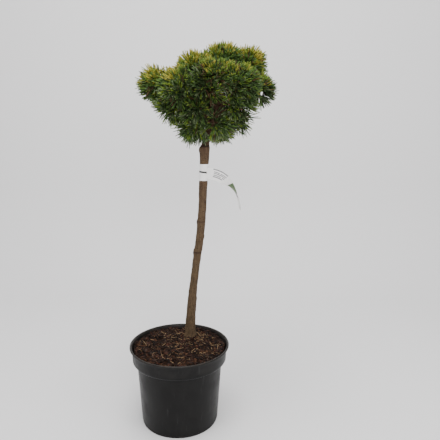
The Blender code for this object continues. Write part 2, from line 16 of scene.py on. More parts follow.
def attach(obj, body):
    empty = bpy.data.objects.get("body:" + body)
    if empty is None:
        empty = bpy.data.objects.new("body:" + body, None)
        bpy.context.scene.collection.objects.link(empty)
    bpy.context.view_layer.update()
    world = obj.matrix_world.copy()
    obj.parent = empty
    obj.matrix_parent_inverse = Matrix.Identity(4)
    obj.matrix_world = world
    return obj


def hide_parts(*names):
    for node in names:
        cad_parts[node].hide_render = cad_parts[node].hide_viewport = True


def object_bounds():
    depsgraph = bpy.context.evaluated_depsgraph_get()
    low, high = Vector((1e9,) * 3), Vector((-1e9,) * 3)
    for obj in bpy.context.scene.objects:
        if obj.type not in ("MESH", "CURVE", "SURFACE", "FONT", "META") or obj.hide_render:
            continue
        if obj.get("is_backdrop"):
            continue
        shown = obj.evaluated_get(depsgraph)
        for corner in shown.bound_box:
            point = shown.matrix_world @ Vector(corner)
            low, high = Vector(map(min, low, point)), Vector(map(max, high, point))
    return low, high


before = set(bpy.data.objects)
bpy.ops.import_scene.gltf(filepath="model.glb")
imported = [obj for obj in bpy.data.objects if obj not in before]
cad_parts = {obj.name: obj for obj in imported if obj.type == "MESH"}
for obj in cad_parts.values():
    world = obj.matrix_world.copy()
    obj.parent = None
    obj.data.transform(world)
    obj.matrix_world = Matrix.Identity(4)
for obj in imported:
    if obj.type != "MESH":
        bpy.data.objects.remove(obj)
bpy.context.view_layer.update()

# %% [markdown]
# ## Camera, floor and light
# The camera stands about 1.2 m away, a little above the graft, and looks ten degrees down. The floor is
# a plain pale sheet that turns up behind, so that the pot has something to stand on and the crown has a
# calm background. Large soft lamps keep the shadows gentle, as under a shop's ceiling.

# %% Helpers for working by operators
def deselect():
    """Leave edit mode and select nothing."""
    if bpy.context.object and bpy.context.object.mode != "OBJECT":
        bpy.ops.object.mode_set(mode="OBJECT")
    bpy.ops.object.select_all(action="DESELECT")


def only(*pieces):
    """Select these pieces alone; the first one is active."""
    deselect()
    for piece in pieces:
        piece.select_set(True)
    bpy.context.view_layer.objects.active = pieces[0]


def settle(piece, name):
    """Name a piece and put its place into its mesh."""
    only(piece)
    bpy.ops.object.transform_apply(location=True, rotation=True, scale=True)
    piece.name = piece.data.name = name
    return piece


def joined(pieces, name):
    """Several pieces made one."""
    only(*pieces)
    bpy.ops.object.join()
    return settle(bpy.context.object, name)


def edit(kind="VERT", action="SELECT"):
    """Go into edit mode, with all or nothing selected."""
    bpy.ops.object.mode_set(mode="EDIT")
    bpy.ops.mesh.select_mode(type=kind)
    bpy.ops.mesh.select_all(action=action)


def face_outwards():
    """Turn every face outwards and leave edit mode."""
    bpy.ops.mesh.select_all(action="SELECT")
    bpy.ops.mesh.normals_make_consistent(inside=False)
    bpy.ops.object.mode_set(mode="OBJECT")


def apply_modifier(piece, kind, **values):
    """Add a modifier, set it and apply it."""
    only(piece)
    modifier = piece.modifiers.new(kind.lower(), kind)
    for key, value in values.items():
        setattr(modifier, key, value)
    bpy.ops.object.modifier_apply(modifier=modifier.name)

# %% Small helpers for pieces and finishes
def smooth(piece, degrees=40.0):
    """Soft shading, with creases where the surface turns sharply."""
    only(piece)
    bpy.ops.object.shade_smooth_by_angle(angle=math.radians(degrees))


def triangles(piece):
    """How many triangles a piece has."""
    return sum(len(face.vertices) - 2 for face in piece.data.polygons)


def clamp(value, low=0.0, high=1.0):
    """The value, kept between two ends."""
    return min(max(value, low), high)


def new_look(name, colour, roughness, **sockets):
    """A material whose shader has plain values; returns it with its tree and shader."""
    look = bpy.data.materials.new(name)
    look.use_nodes = True
    shader = look.node_tree.nodes["Principled BSDF"]
    shader.inputs["Base Color"].default_value = (*colour, 1.0)
    shader.inputs["Roughness"].default_value = roughness
    for title, value in sockets.items():
        shader.inputs[title.replace("_", " ")].default_value = value
    return look, look.node_tree, shader

# %% Camera
CAMERA_PLACE = Vector((0.1052, -1.1235, 0.7386))
CAMERA_DOWN = math.radians(9.891)
CAMERA_ROLL = math.radians(0.389)
FOCAL_SHARE = 450.09 / 440.0  # focal length over the frame's width

camera_data = bpy.data.cameras.new("camera")
camera_data.sensor_width = 36.0
camera_data.lens = camera_data.sensor_width * FOCAL_SHARE
camera = bpy.data.objects.new("camera", camera_data)
bpy.context.scene.collection.objects.link(camera)
pitch = Matrix.Rotation(math.radians(90.0) - CAMERA_DOWN, 4, "X")
camera.matrix_world = Matrix.Translation(CAMERA_PLACE) @ pitch @ Matrix.Rotation(CAMERA_ROLL, 4, "Z")
bpy.context.scene.camera = camera
print("camera lens", round(camera_data.lens, 2), "mm")

# %% Floor that turns up behind
FLOOR_SIZE = 6.0
WALL_BEHIND = 1.4
WALL_RADIUS = 0.5
FLOOR_COLOUR = (0.82, 0.81, 0.805)

deselect()
bpy.ops.mesh.primitive_plane_add(size=FLOOR_SIZE, location=(0.0, WALL_BEHIND - 0.5 * FLOOR_SIZE, 0.0))
floor = bpy.context.object
edit("EDGE", "DESELECT")
bpy.ops.object.mode_set(mode="OBJECT")
for edge in floor.data.edges:
    edge.select = min(floor.data.vertices[index].co.y for index in edge.vertices) > 0.0
bpy.ops.object.mode_set(mode="EDIT")
bpy.ops.mesh.extrude_region_move(TRANSFORM_OT_translate={"value": (0.0, 0.0, FLOOR_SIZE)})
bpy.ops.object.mode_set(mode="OBJECT")
settle(floor, "floor")
apply_modifier(floor, "BEVEL", width=WALL_RADIUS, segments=12, limit_method="ANGLE")
smooth(floor)
floor.data.materials.append(new_look("floor_paint", FLOOR_COLOUR, 0.9)[0])
floor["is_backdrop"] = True
print("floor", triangles(floor), "triangles")

# %% Soft studio light
# Name, place, the point it looks at, size and power
LAMPS = (
    ("ceiling", (0.0, -0.4, 2.6), (0.08, 0.06, 0.6), 1.3, 50.0),
    ("front", (0.5, -2.7, 1.5), (0.08, 0.06, 0.75), 1.2, 42.0),
    ("left", (-1.9, -1.5, 1.5), (0.08, 0.06, 0.6), 1.2, 5.0),
    ("right", (1.9, -1.2, 1.3), (0.08, 0.06, 0.5), 1.0, 8.0),
)

for name, place, aim, size, power in LAMPS:
    lamp_data = bpy.data.lights.new("lamp_" + name, "AREA")
    lamp_data.shape = "SQUARE"
    lamp_data.size = size
    lamp_data.energy = power
    lamp = bpy.data.objects.new("lamp_" + name, lamp_data)
    bpy.context.scene.collection.objects.link(lamp)
    lamp.location = place
    lamp.rotation_euler = (Vector(aim) - Vector(place)).to_track_quat("-Z", "Y").to_euler()
world = bpy.data.worlds.new("soft_sky")
world.use_nodes = True
sky = world.node_tree.nodes["Background"].inputs
sky["Color"].default_value = (0.96, 0.97, 1.0, 1.0)
sky["Strength"].default_value = 0.80
bpy.context.scene.world = world
print(len(LAMPS), "lamps")

# %% [markdown]
# ## Shared effects
# Grain, dust and streaks turn up in several finishes, so each is a node group that is built once. A
# group gives out masks and heights only, and each material mixes its own colours with them.

# %% Node helpers
def feed(tree, socket, value):
    """Give a socket a value, or link another socket to it."""
    if isinstance(value, bpy.types.NodeSocket):
        tree.links.new(value, socket)
    else:
        socket.default_value = value


def add_node(tree, kind, inputs=(), **settings):
    """Outputs of a new node with its settings, whose inputs are fed by name or number."""
    node = tree.nodes.new("ShaderNode" + kind)
    for key, value in settings.items():
        setattr(node, key, value)
    for key, value in dict(inputs).items():
        feed(tree, node.inputs[key], value)
    return node.outputs


def ranged(tree, value, low=0.0, high=1.0, to_low=0.0, to_high=1.0):
    """Stretch the values between low and high to another range."""
    ends = {"From Min": low, "From Max": high, "To Min": to_low, "To Max": to_high}
    return add_node(tree, "MapRange", {"Value": value, **ends})["Result"]


def times(tree, first, second):
    """Two values multiplied, kept between 0 and 1."""
    return add_node(tree, "Math", {0: first, 1: second}, operation="MULTIPLY", use_clamp=True)["Value"]


def clouds(tree, scale, detail, roughness, stretch=(1.0, 1.0, 1.0)):
    """Noise on the object's own coordinates, stretched by an amount for each axis."""
    place = add_node(tree, "TexCoord")["Object"]
    mapped = add_node(tree, "Mapping", {"Vector": place, "Scale": stretch})["Vector"]
    values = {"Vector": mapped, "Scale": scale, "Detail": detail, "Roughness": roughness}
    return add_node(tree, "TexNoise", values)["Fac"]


def new_group(name, numbers, titles):
    """A shader node group with its number inputs (name: value) and the sockets at both ends."""
    group = bpy.data.node_groups.new(name, "ShaderNodeTree")
    for title, value in numbers.items():
        socket = group.interface.new_socket(title, in_out="INPUT", socket_type="NodeSocketFloat")
        socket.default_value = value
    for title in titles:
        group.interface.new_socket(title, in_out="OUTPUT", socket_type="NodeSocketFloat")
    return group, group.nodes.new("NodeGroupInput").outputs, group.nodes.new("NodeGroupOutput").inputs

# %% Grain is a fine speckle, and streaks are marks that run up and down a piece
def noise_group(name, numbers, detail, roughness, stretch):
    """A group that gives the height of a noise, and a mask of where it is high."""
    group, given, out = new_group(name, numbers, ("Mask", "Height"))
    height = clouds(group, given["Scale"], detail, roughness, stretch)
    group.links.new(height, out["Height"])
    group.links.new(ranged(group, height, given["Low"], given["High"]), out["Mask"])
    return group


grain = noise_group("grain", {"Scale": 200.0, "Low": 0.35, "High": 0.65}, 4.0, 0.6, (1.0, 1.0, 1.0))
streaks = noise_group("streaks", {"Scale": 60.0, "Low": 0.4, "High": 0.7}, 5.0, 0.65, (1.0, 1.0, 0.10))

# %% Dust settles on faces that look up, in patches
dust, given, out = new_group("dust", {"Scale": 30.0, "Amount": 0.5}, ("Mask",))
upward = add_node(dust, "SeparateXYZ", {"Vector": add_node(dust, "NewGeometry")["Normal"]})["Z"]
cloudy = ranged(dust, clouds(dust, given["Scale"], 6.0, 0.7), 0.30, 0.70)
patchy = times(dust, ranged(dust, upward, -0.10, 0.70), cloudy)
dust.links.new(times(dust, patchy, given["Amount"]), out["Mask"])
print("groups", [group.name for group in bpy.data.node_groups])

# %% Material helpers
def effect(tree, group, **values):
    """Outputs of a shared effect that is placed in a material."""
    return add_node(tree, "Group", values, node_tree=group)


def tint(tree, mask, below, above):
    """Mix two colours, or a colour socket and a colour, by a mask."""
    ends = [(*colour, 1.0) if isinstance(colour, tuple) else colour for colour in (below, above)]
    return add_node(tree, "Mix", {0: mask, 6: ends[0], 7: ends[1]}, data_type="RGBA")[2]


def colour_by(tree, shader, *mix):
    """The shader's colour from a mix by a mask."""
    tree.links.new(tint(tree, *mix), shader.inputs["Base Color"])


def rough_by(tree, shader, mask, low, high):
    """Roughness between two values by a mask."""
    tree.links.new(ranged(tree, mask, 0.0, 1.0, low, high), shader.inputs["Roughness"])


def bump(tree, shader, height, distance, strength):
    """Fine relief from a height."""
    values = {"Distance": distance, "Strength": strength, "Height": height}
    tree.links.new(add_node(tree, "Bump", values)["Normal"], shader.inputs["Normal"])


def height_share(tree, low, high):
    """0 at one height of the object and 1 at another."""
    place = add_node(tree, "TexCoord")["Object"]
    return ranged(tree, add_node(tree, "SeparateXYZ", {"Vector": place})["Z"], low, high)


def height_band(tree, low, high):
    """1 between two heights of the object, with soft edges."""
    soft = 0.35 * (high - low)
    return times(tree, height_share(tree, low, low + soft), height_share(tree, high, high - soft))


def speckled(name, colour, roughness, speckle, below, above, relief=(), rough=(), **sockets):
    """A material that grain (scale, low, high) gives two colours, relief (depth, strength) and roughness."""
    look, tree, shader = new_look(name, colour, roughness, **sockets)
    scale, low, high = speckle
    fleck = effect(tree, grain, Scale=scale, Low=low, High=high)
    colour_by(tree, shader, fleck["Mask"], below, above)
    if relief:
        bump(tree, shader, fleck["Height"], *relief)
    if rough:
        rough_by(tree, shader, fleck["Mask"], *rough)
    return look

# %% [markdown]
# ## The pot
# A blow-moulded nursery pot is one thin shell: a tapered body, a step out to the collar that hands
# grip, and a rolled lip. Turning is right for it. A disc is extruded ring by ring up the outside, over
# the lip and down the inside, and scaled at each step.

# %% Pot sizes
RIM_RADIUS = 0.1312
FOOT_RADIUS = 0.1000
NECK_RADIUS = 0.1120
NECK_HEIGHT = 0.1660
COLLAR_RADIUS = 0.1235
COLLAR_HEIGHT = 0.1708
POT_WALL = 0.0022
POT_STEPS = 112


def wall_radius(height):
    """Outer radius of the pot's tapered body."""
    foot = FOOT_RADIUS + 0.0012
    return foot + (NECK_RADIUS - foot) * height / NECK_HEIGHT


# Foot with its step line, body, shoulder, collar and lip, as (radius, height)
OUTSIDE = [(0.0860, 0.0016), (0.0880, 0.0002), (0.0900, 0.0), (FOOT_RADIUS - 0.0010, 0.0)]
OUTSIDE += [(FOOT_RADIUS + 0.0002, 0.0007), (wall_radius(0.0042) - 0.0003, 0.0042)]
OUTSIDE += [(wall_radius(0.0050) - 0.0009, 0.0048), (wall_radius(0.0060) - 0.0009, 0.0056)]
OUTSIDE += [(wall_radius(height), height) for height in (0.0064, *np.linspace(0.010, 0.155, 15))]
OUTSIDE += [(wall_radius(0.162), 0.162), (NECK_RADIUS + 0.0005, 0.1652), (NECK_RADIUS + 0.0024, 0.1670)]
# The collar, as (step out from it, height)
COLLAR = [(-0.0034, 0.1692), (-0.0009, 0.1704), (0.0, 0.1718), (0.0003, 0.1770), (0.0008, 0.1850)]
COLLAR += [(0.0014, 0.1940), (0.0018, 0.2010), (0.0026, 0.2034), (0.0056, 0.2046)]
OUTSIDE += [(COLLAR_RADIUS + out, height) for out, height in COLLAR]
# The lip rolls over from the collar to the inner wall, as (step out from the rim, height)
LIP = [(-0.0007, 0.2053), (-0.0001, 0.2066), (0.0, 0.2078), (-0.0004, 0.2090), (-0.0013, 0.2098)]
LIP += [(-0.0024, 0.2100), (-0.0038, 0.2097), (-0.0052, 0.2088), (-0.0064, 0.2070)]
LIP = [(RIM_RADIUS + out, height) for out, height in LIP]
INSIDE = [(COLLAR_RADIUS - POT_WALL + 0.0016, 0.2010), (COLLAR_RADIUS - POT_WALL, 0.1725)]
INSIDE += [(NECK_RADIUS - POT_WALL, 0.1665), (wall_radius(0.080) - POT_WALL, 0.080)]
INSIDE += [(wall_radius(0.004) - POT_WALL, 0.004), (0.0880, 0.0032)]

# %% Turning by extrusion
def turned(name, profile, steps):
    """A closed solid of revolution: a disc extruded and scaled from ring to ring."""
    deselect()
    radius, height = profile[0]
    place = (0.0, 0.0, height)
    bpy.ops.mesh.primitive_circle_add(vertices=steps, radius=radius, fill_type="NGON", location=place)
    piece = settle(bpy.context.object, name)
    edit("FACE")
    for (before, low), (after, high) in zip(profile, profile[1:]):
        bpy.ops.mesh.extrude_region_move(TRANSFORM_OT_translate={"value": (0.0, 0.0, high - low)})
        share = after / before
        bpy.ops.transform.resize(value=(share, share, 1.0), center_override=(0.0, 0.0, high))
    face_outwards()
    return piece


pot = turned("pot_shell", OUTSIDE + LIP + INSIDE, POT_STEPS)
print("pot", triangles(pot), "triangles")

# %% Drain holes round the base
DRAIN_HOLES = 8
DRAIN_RADIUS = 0.006
DRAIN_CIRCLE = 0.078

drills = []
for hole in range(DRAIN_HOLES):
    deselect()
    angle = 2.0 * math.pi * (hole + 0.5) / DRAIN_HOLES
    place = (DRAIN_CIRCLE * math.cos(angle), DRAIN_CIRCLE * math.sin(angle), 0.0)
    bpy.ops.mesh.primitive_cylinder_add(vertices=24, radius=DRAIN_RADIUS, depth=0.02, location=place)
    drills.append(bpy.context.object)
drill = joined(drills, "drill")
apply_modifier(pot, "BOOLEAN", operation="DIFFERENCE", object=drill, solver="EXACT")
bpy.data.objects.remove(drill, do_unlink=True)
smooth(pot, 35.0)
print("pot with holes", triangles(pot), "triangles")

# %% Pot finish: matt black plastic, greyer and dusty on collar and lip, rubbed at the foot
black_plastic, tree, shader = new_look("black_plastic", (0.010, 0.010, 0.011), 0.45, Specular_IOR_Level=0.14)
film = effect(tree, dust, Scale=38.0, Amount=0.45)
haze = effect(tree, grain, Scale=26.0, Low=0.42, High=0.66)
scuffs = effect(tree, streaks, Scale=150.0, Low=0.60, High=0.74)
on_collar = height_share(tree, COLLAR_HEIGHT - 0.002, COLLAR_HEIGHT + 0.012)
colour = tint(tree, haze["Mask"], (0.0046, 0.0045, 0.0044), (0.0072, 0.0070, 0.0068))
colour = tint(tree, times(tree, on_collar, haze["Mask"]), colour, (0.0120, 0.0112, 0.0106))
colour = tint(tree, scuffs["Mask"], colour, (0.0200, 0.0198, 0.0200))
colour_by(tree, shader, film["Mask"], colour, (0.070, 0.056, 0.044))
rough_by(tree, shader, haze["Mask"], 0.36, 0.52)
bump(tree, shader, scuffs["Height"], 0.0003, 0.35)
pot.data.materials.append(black_plastic)
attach(pot, "root")
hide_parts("pot")

# %% [markdown]
# ## The compost
# Bark compost is a bed of chips in dark crumbs. The bed is one surface, extruded inwards ring by ring
# and then pushed into lumps. The chips on it are thousands of small wedges, so they are made as joined
# meshes from arrays, one mesh for each colour of chip. Some fallen needles lie among them.

# %% The bed
SOIL_LEVEL = 0.203
BED_RADIUS = 0.1200
BED_STEPS = 144
BED_RINGS = 46
# Noise as (scale, depth)
LUMPS, CLODS, CRUMBS, WANDER = (52.0, 0.0042), (130.0, 0.0021), (420.0, 0.0016), (300.0, 0.0006)
FOOT_PLACE = Vector((0.0234, 0.064, 0.0))
FOOT_ROOM = 0.022  # the bed lies level this far round the stem

bed_profile = [(0.100, 0.185), (BED_RADIUS - 0.0015, 0.186), (BED_RADIUS, 0.1995)]
bed_profile += [(BED_RADIUS * share, SOIL_LEVEL) for share in np.linspace(0.995, 0.012, BED_RINGS)]


def relief(place, scale, depth, shift=Vector()):
    """Noise at a place, as a height."""
    return noise.noise(place * scale + shift) * depth


def bed_height(x, y):
    """Height of the compost's lumpy surface, which is level at the stem and lower at the rim."""
    spot = Vector((x, y, 0.0))
    level = clamp(((spot - FOOT_PLACE).length - FOOT_ROOM) / FOOT_ROOM, 0.15)
    lumps = level * (relief(spot, *LUMPS) + relief(spot, *CLODS))
    edge = clamp((math.hypot(x, y) - 0.100) / 0.020)
    return SOIL_LEVEL + lumps + relief(spot, *CRUMBS) - 0.0012 * edge


bed = turned("compost_bed", bed_profile, BED_STEPS)
for vert in bed.data.vertices:
    if vert.co.z > SOIL_LEVEL - 0.0002:
        wander = relief(Vector((vert.co.x, vert.co.y, 1.0)), *WANDER)
        vert.co.z = bed_height(vert.co.x, vert.co.y) + wander
smooth(bed, 60.0)
print("compost bed", triangles(bed), "triangles")

# %% Compost finish
compost_look, tree, shader = new_look("bark_compost", (0.020, 0.010, 0.006), 0.95, Specular_IOR_Level=0.15)
crumbs = effect(tree, grain, Scale=420.0, Low=0.38, High=0.62)
clods = effect(tree, grain, Scale=90.0, Low=0.35, High=0.65)
colour = tint(tree, clods["Mask"], (0.0034, 0.0016, 0.0009), (0.0115, 0.0044, 0.0021))
colour_by(tree, shader, crumbs["Mask"], colour, (0.0215, 0.0082, 0.0036))
rough_by(tree, shader, crumbs["Mask"], 0.80, 1.0)
bump(tree, shader, crumbs["Height"], 0.0015, 0.8)
bed.data.materials.append(compost_look)
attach(bed, "root")
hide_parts("compost")

# %% Joined meshes from arrays
def mesh_from_arrays(name, points, faces, look, soft=True):
    """One mesh object from an (n, 3) array of points and an (m, 3) array of triangles."""
    mesh = bpy.data.meshes.new(name)
    mesh.vertices.add(len(points))
    mesh.vertices.foreach_set("co", np.ascontiguousarray(points, np.float32).ravel())
    mesh.loops.add(faces.size)
    mesh.loops.foreach_set("vertex_index", np.ascontiguousarray(faces, np.int32).ravel())
    mesh.polygons.add(len(faces))
    mesh.polygons.foreach_set("loop_start", np.arange(0, faces.size, 3, dtype=np.int32))
    mesh.polygons.foreach_set("use_smooth", np.full(len(faces), soft))
    mesh.update(calc_edges=True)
    mesh.validate()
    mesh.materials.append(look)
    piece = bpy.data.objects.new(name, mesh)
    bpy.context.scene.collection.objects.link(piece)
    return piece


def repeat_faces(pattern, count, points_each):
    """The triangles of one shape repeated for a count of copies."""
    offsets = np.arange(count)[:, None, None] * points_each
    return (pattern[None] + offsets).reshape(-1, 3)

# %% Bark chips
CHIP_CORNERS = np.array([(x, y, z) for z in (-1, 1) for y in (-1, 1) for x in (-1, 1)], float)
CHIP_FACES = np.array((
    (0, 2, 3), (0, 3, 1), (4, 5, 7), (4, 7, 6), (0, 1, 5), (0, 5, 4),
    (2, 6, 7), (2, 7, 3), (0, 4, 6), (0, 6, 2), (1, 3, 7), (1, 7, 5),
))
# Kind: colour, roughness, how many, and mean half length, width and thickness
CHIPS = (
    ("dark", (0.0065, 0.0028, 0.0016), 0.90, 1100, (0.0048, 0.0026, 0.0011)),
    ("brown", (0.0165, 0.0062, 0.0027), 0.85, 900, (0.0055, 0.0027, 0.0011)),
    ("tan", (0.056, 0.0235, 0.0100), 0.80, 420, (0.0060, 0.0022, 0.0009)),
    ("reddish", (0.040, 0.0132, 0.0068), 0.82, 360, (0.0052, 0.0025, 0.0010)),
    ("grey", (0.042, 0.024, 0.016), 0.85, 260, (0.0050, 0.0024, 0.0010)),
    ("fibre", (0.078, 0.038, 0.018), 0.80, 240, (0.0085, 0.0006, 0.0005)),
)
CHIP_BED = 0.1185
CHIP_TILTS = (0.28, 0.35)  # spread about the chip's two flat axes, in radians
FOOT_CLEAR = 0.018
print(len(CHIPS), "kinds of chip")

# %% Scattering chips
def scattered(count, chance, radius):
    """Even random places on a disc, off the stem's foot."""
    spots = []
    while len(spots) < count:
        x, y = chance.uniform(-radius, radius), chance.uniform(-radius, radius)
        foot = math.hypot(x - FOOT_PLACE.x, y - FOOT_PLACE.y)
        if math.hypot(x, y) < radius and foot > FOOT_CLEAR:
            spots.append((x, y))
    return spots


def chip_mesh(kind, look, count, half):
    """Irregular wedges that lie on the bed, each turned, tilted and half sunk by chance."""
    chance = random.Random("chips " + kind)
    points = []
    for x, y in scattered(count, chance, CHIP_BED):
        size = chance.uniform(0.45, 1.35)
        long_side, width, thick = (side * size * chance.uniform(0.7, 1.3) for side in half)
        long_side = min(long_side, 0.001 + (BED_RADIUS - math.hypot(x, y)))
        along, across = (chance.gauss(0.0, spread) for spread in CHIP_TILTS)
        tilt = Matrix.Rotation(along, 3, "Y") @ Matrix.Rotation(across, 3, "X")
        turn = np.array(Matrix.Rotation(chance.uniform(0.0, 2.0 * math.pi), 3, "Z") @ tilt)
        jitter = np.array([[chance.uniform(0.55, 1.0) for axis in range(3)] for corner in range(8)])
        corners = CHIP_CORNERS * jitter * (long_side, width, thick)
        base = bed_height(x, y) + thick * chance.uniform(0.2, 1.6)
        points.append(corners @ turn.T + (x, y, base))
    faces = repeat_faces(CHIP_FACES, count, 8)
    return mesh_from_arrays("chips_" + kind, np.concatenate(points), faces, look, soft=False)

# %% Making each kind
for kind, colour, roughness, count, half in CHIPS:
    darker, paler = (tuple(share * value for value in colour) for share in (0.55, 1.35))
    look = speckled(
        "chip_" + kind, colour, roughness, (260.0, 0.40, 0.62),
        darker, paler, (0.0006, 0.6), Specular_IOR_Level=0.20,
    )
    chips = chip_mesh(kind, look, count, half)
    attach(chips, "root")
    print("chips", kind, triangles(chips), "triangles")

# %% [markdown]
# ## Stem and boughs
# The stem is pruned bare and its bark is rough: fine plates and cracks low down, smoother and redder
# towards the graft, with the scars of old branches. A tube along a curve gives the taper. The relief is
# real geometry, pushed out by layered noise, because it shows on the outline.

# %% Sizes of the stem, as in the solids
STEM_Y = 0.064
# (height, shift to +X, diameter), from the compost to the tip inside the crown
STEM = (
    (0.2033, 0.0234, 0.0345), (0.209, 0.0234, 0.0312), (0.22, 0.024, 0.0295), (0.2449, 0.0249, 0.0267),
    (0.2896, 0.0277, 0.0246), (0.3337, 0.0316, 0.0222), (0.3772, 0.0371, 0.0203), (0.4203, 0.0425, 0.0196),
    (0.4628, 0.0488, 0.02), (0.5049, 0.0535, 0.0194), (0.535, 0.056, 0.0198), (0.5685, 0.0581, 0.0192),
    (0.605, 0.0595, 0.0198), (0.6293, 0.0602, 0.0202), (0.659, 0.0618, 0.0205), (0.6834, 0.0628, 0.0212),
    (0.7, 0.0638, 0.0226), (0.713, 0.0642, 0.0236), (0.7228, 0.0648, 0.0228), (0.73, 0.066, 0.0178),
    (0.7443, 0.0677, 0.0163), (0.7651, 0.0739, 0.0155), (0.7864, 0.0834, 0.0141), (0.808, 0.0943, 0.0128),
    (0.8297, 0.1011, 0.0115), (0.844, 0.103, 0.0104),
)
ROOT_LOBES = 5
ROOT_SPREAD = 0.14
ROOT_HEIGHT = 0.020
ROOT_TURN = 0.6
# Old branch scars and the shoulder of the graft: (height, angle from +X in degrees, swelling, size)
KNOTS = (
    (0.445, 180, 0.0035, 0.01), (0.527, 165, 0.0028, 0.009), (0.485, 20, 0.0022, 0.008),
    (0.38, 250, 0.002, 0.009), (0.6, 300, 0.0018, 0.008), (0.312, 20, 0.0022, 0.01),
    (0.719, 190, 0.0032, 0.01),
)


def stem_row(height):
    """The two rows of the stem that a height lies between, and the share of the way."""
    for low, high in zip(STEM, STEM[1:]):
        if height <= high[0]:
            break
    return low, high, (height - low[0]) / (high[0] - low[0])


def stem_point(height):
    """Point on the stem's axis at a height."""
    low, high, share = stem_row(height)
    return Vector((low[1] + (high[1] - low[1]) * share, STEM_Y, height))


def stem_radius(height):
    """Radius of the stem at a height, without its knots."""
    low, high, share = stem_row(height)
    return 0.5 * (low[2] + (high[2] - low[2]) * share)

# %% A tube along a path, from a curve
def tube(name, path, radii, resolution):
    """A curve through the path, thickened to the radii, turned into a closed mesh."""
    deselect()
    bpy.ops.curve.primitive_nurbs_path_add()
    rope = bpy.context.object
    curve = rope.data
    curve.splines.clear()
    spline = curve.splines.new("POLY")
    spline.points.add(len(path) - 1)
    for point, place, radius in zip(spline.points, path, radii):
        point.co = (*place, 1.0)
        point.radius = radius
    curve.dimensions = "3D"
    curve.twist_mode = "MINIMUM"
    curve.bevel_depth = 1.0
    curve.bevel_resolution = resolution
    only(rope)
    bpy.ops.object.convert(target="MESH")
    edit("VERT", "DESELECT")
    bpy.ops.mesh.select_non_manifold()
    bpy.ops.mesh.fill_holes(sides=0)
    face_outwards()
    return settle(bpy.context.object, name)

# %% The stem with its relief
STEM_RING_GAP = 0.0014
STEM_RESOLUTION = 24  # gives 52 points round
STEM_BARK = 0.0009  # the mesh is that much wider than the solid above the swollen foot
BARK_FROM, BARK_OVER = 0.36, 0.12
COARSE_BELOW, COARSE_OVER = 0.62, 0.35
STEM_SUNK = 0.006  # and starts that far down in the compost
STEM_FOOT, STEM_TIP = STEM[0][0], STEM[-1][0]
LABEL_PRESSED = (0.634, 0.683)  # the bark is smoother where the label lies
PLATES, CRACKS = (330.0, 0.00055), (190.0, 0.0011, Vector((7.0, 0.0, 0.0)))
WRINKLES, SWELL = (210.0, 0.00030), (38.0, 0.0009)

heights = np.arange(STEM_FOOT - STEM_SUNK, STEM_TIP, STEM_RING_GAP)
stem_path = [Vector((stem_point(max(height, STEM_FOOT)).x, STEM_Y, height)) for height in heights]
stem_radii = [stem_radius(max(height, STEM_FOOT)) for height in heights]
stem = tube("stem_bark", stem_path, stem_radii, STEM_RESOLUTION)
print("stem", len(stem.data.vertices), "points before its relief")

# %% Bark relief
def bark_relief(place, height):
    """Plates, cracks and wrinkles, in metres; coarser low on the stem."""
    low = clamp((COARSE_BELOW - height) / COARSE_OVER)
    drawn = Vector((place.x, place.y, place.z * 0.30))
    plates = relief(drawn, *PLATES) - abs(relief(drawn, *CRACKS))
    wrinkles = relief(Vector((place.x, place.y, place.z * 3.2)), *WRINKLES)
    return plates * (0.45 + 0.75 * low) + wrinkles * (1.2 - 0.5 * low) + relief(place, *SWELL) + 0.0004


def knot_relief(angle, height, radius):
    """Branch scars: a round swelling with a hollow in its middle."""
    total = 0.0
    for level, heading, swelling, size in KNOTS:
        turn = math.remainder(angle - math.radians(heading), 2.0 * math.pi) * radius
        far = ((height - level) ** 2 + turn ** 2) / size ** 2
        total += swelling * (math.exp(-2.0 * far) - 0.45 * math.exp(-14.0 * far))
    return total


for vert in stem.data.vertices:
    height = clamp(vert.co.z, STEM_FOOT, STEM_TIP)
    axis = stem_point(height)
    axis.z = vert.co.z
    arm = vert.co - axis
    if arm.length < 0.0005:
        continue
    outward = arm.normalized()
    angle = math.atan2(outward.y, outward.x)
    foot = math.exp(-(height - SOIL_LEVEL) / ROOT_HEIGHT)
    radius = stem_radius(height) * (1.0 + ROOT_SPREAD * foot * math.cos(ROOT_LOBES * angle + ROOT_TURN))
    pressed = 0.3 if LABEL_PRESSED[0] < height < LABEL_PRESSED[1] else 1.0
    radius += knot_relief(angle, height, radius) + pressed * bark_relief(vert.co, height)
    radius += STEM_BARK * clamp((height - BARK_FROM) / BARK_OVER)
    vert.co = axis + outward * radius
smooth(stem, 180.0)
print("stem", triangles(stem), "triangles")

# %% Bark finish: red-brown above, olive-grey and flecked below, with painted shade above the graft
# Painted shadow in the graft's notch, and darker bands at two branch scars
NOTCH_SHADE_AND_SCAR_RINGS = ((0.7225, 0.7305), (0.4400, 0.4462), (0.5258, 0.5290))  # the graft's notch and two scars

stem_bark, tree, shader = new_look("stem_bark", (0.10, 0.058, 0.030), 0.85, Specular_IOR_Level=0.25)
fibres = effect(tree, streaks, Scale=420.0, Low=0.36, High=0.64)
flecks = effect(tree, grain, Scale=330.0, Low=0.56, High=0.66)
mottle = effect(tree, grain, Scale=70.0, Low=0.38, High=0.64)
lower_bark = tint(tree, mottle["Mask"], (0.028, 0.0175, 0.0068), (0.066, 0.042, 0.0165))
upper_bark = tint(tree, mottle["Mask"], (0.040, 0.0195, 0.0100), (0.094, 0.054, 0.028))
colour = tint(tree, height_share(tree, 0.40, 0.66), lower_bark, upper_bark)
# Painted shade of the crown: darker from the graft upwards, until the redder bark higher up
colour = tint(tree, height_share(tree, 0.700, 0.724), colour, (0.046, 0.020, 0.012))
colour = tint(tree, height_share(tree, 0.755, 0.790), colour, (0.110, 0.055, 0.034))
colour = tint(tree, fibres["Mask"], colour, (0.105, 0.067, 0.037))
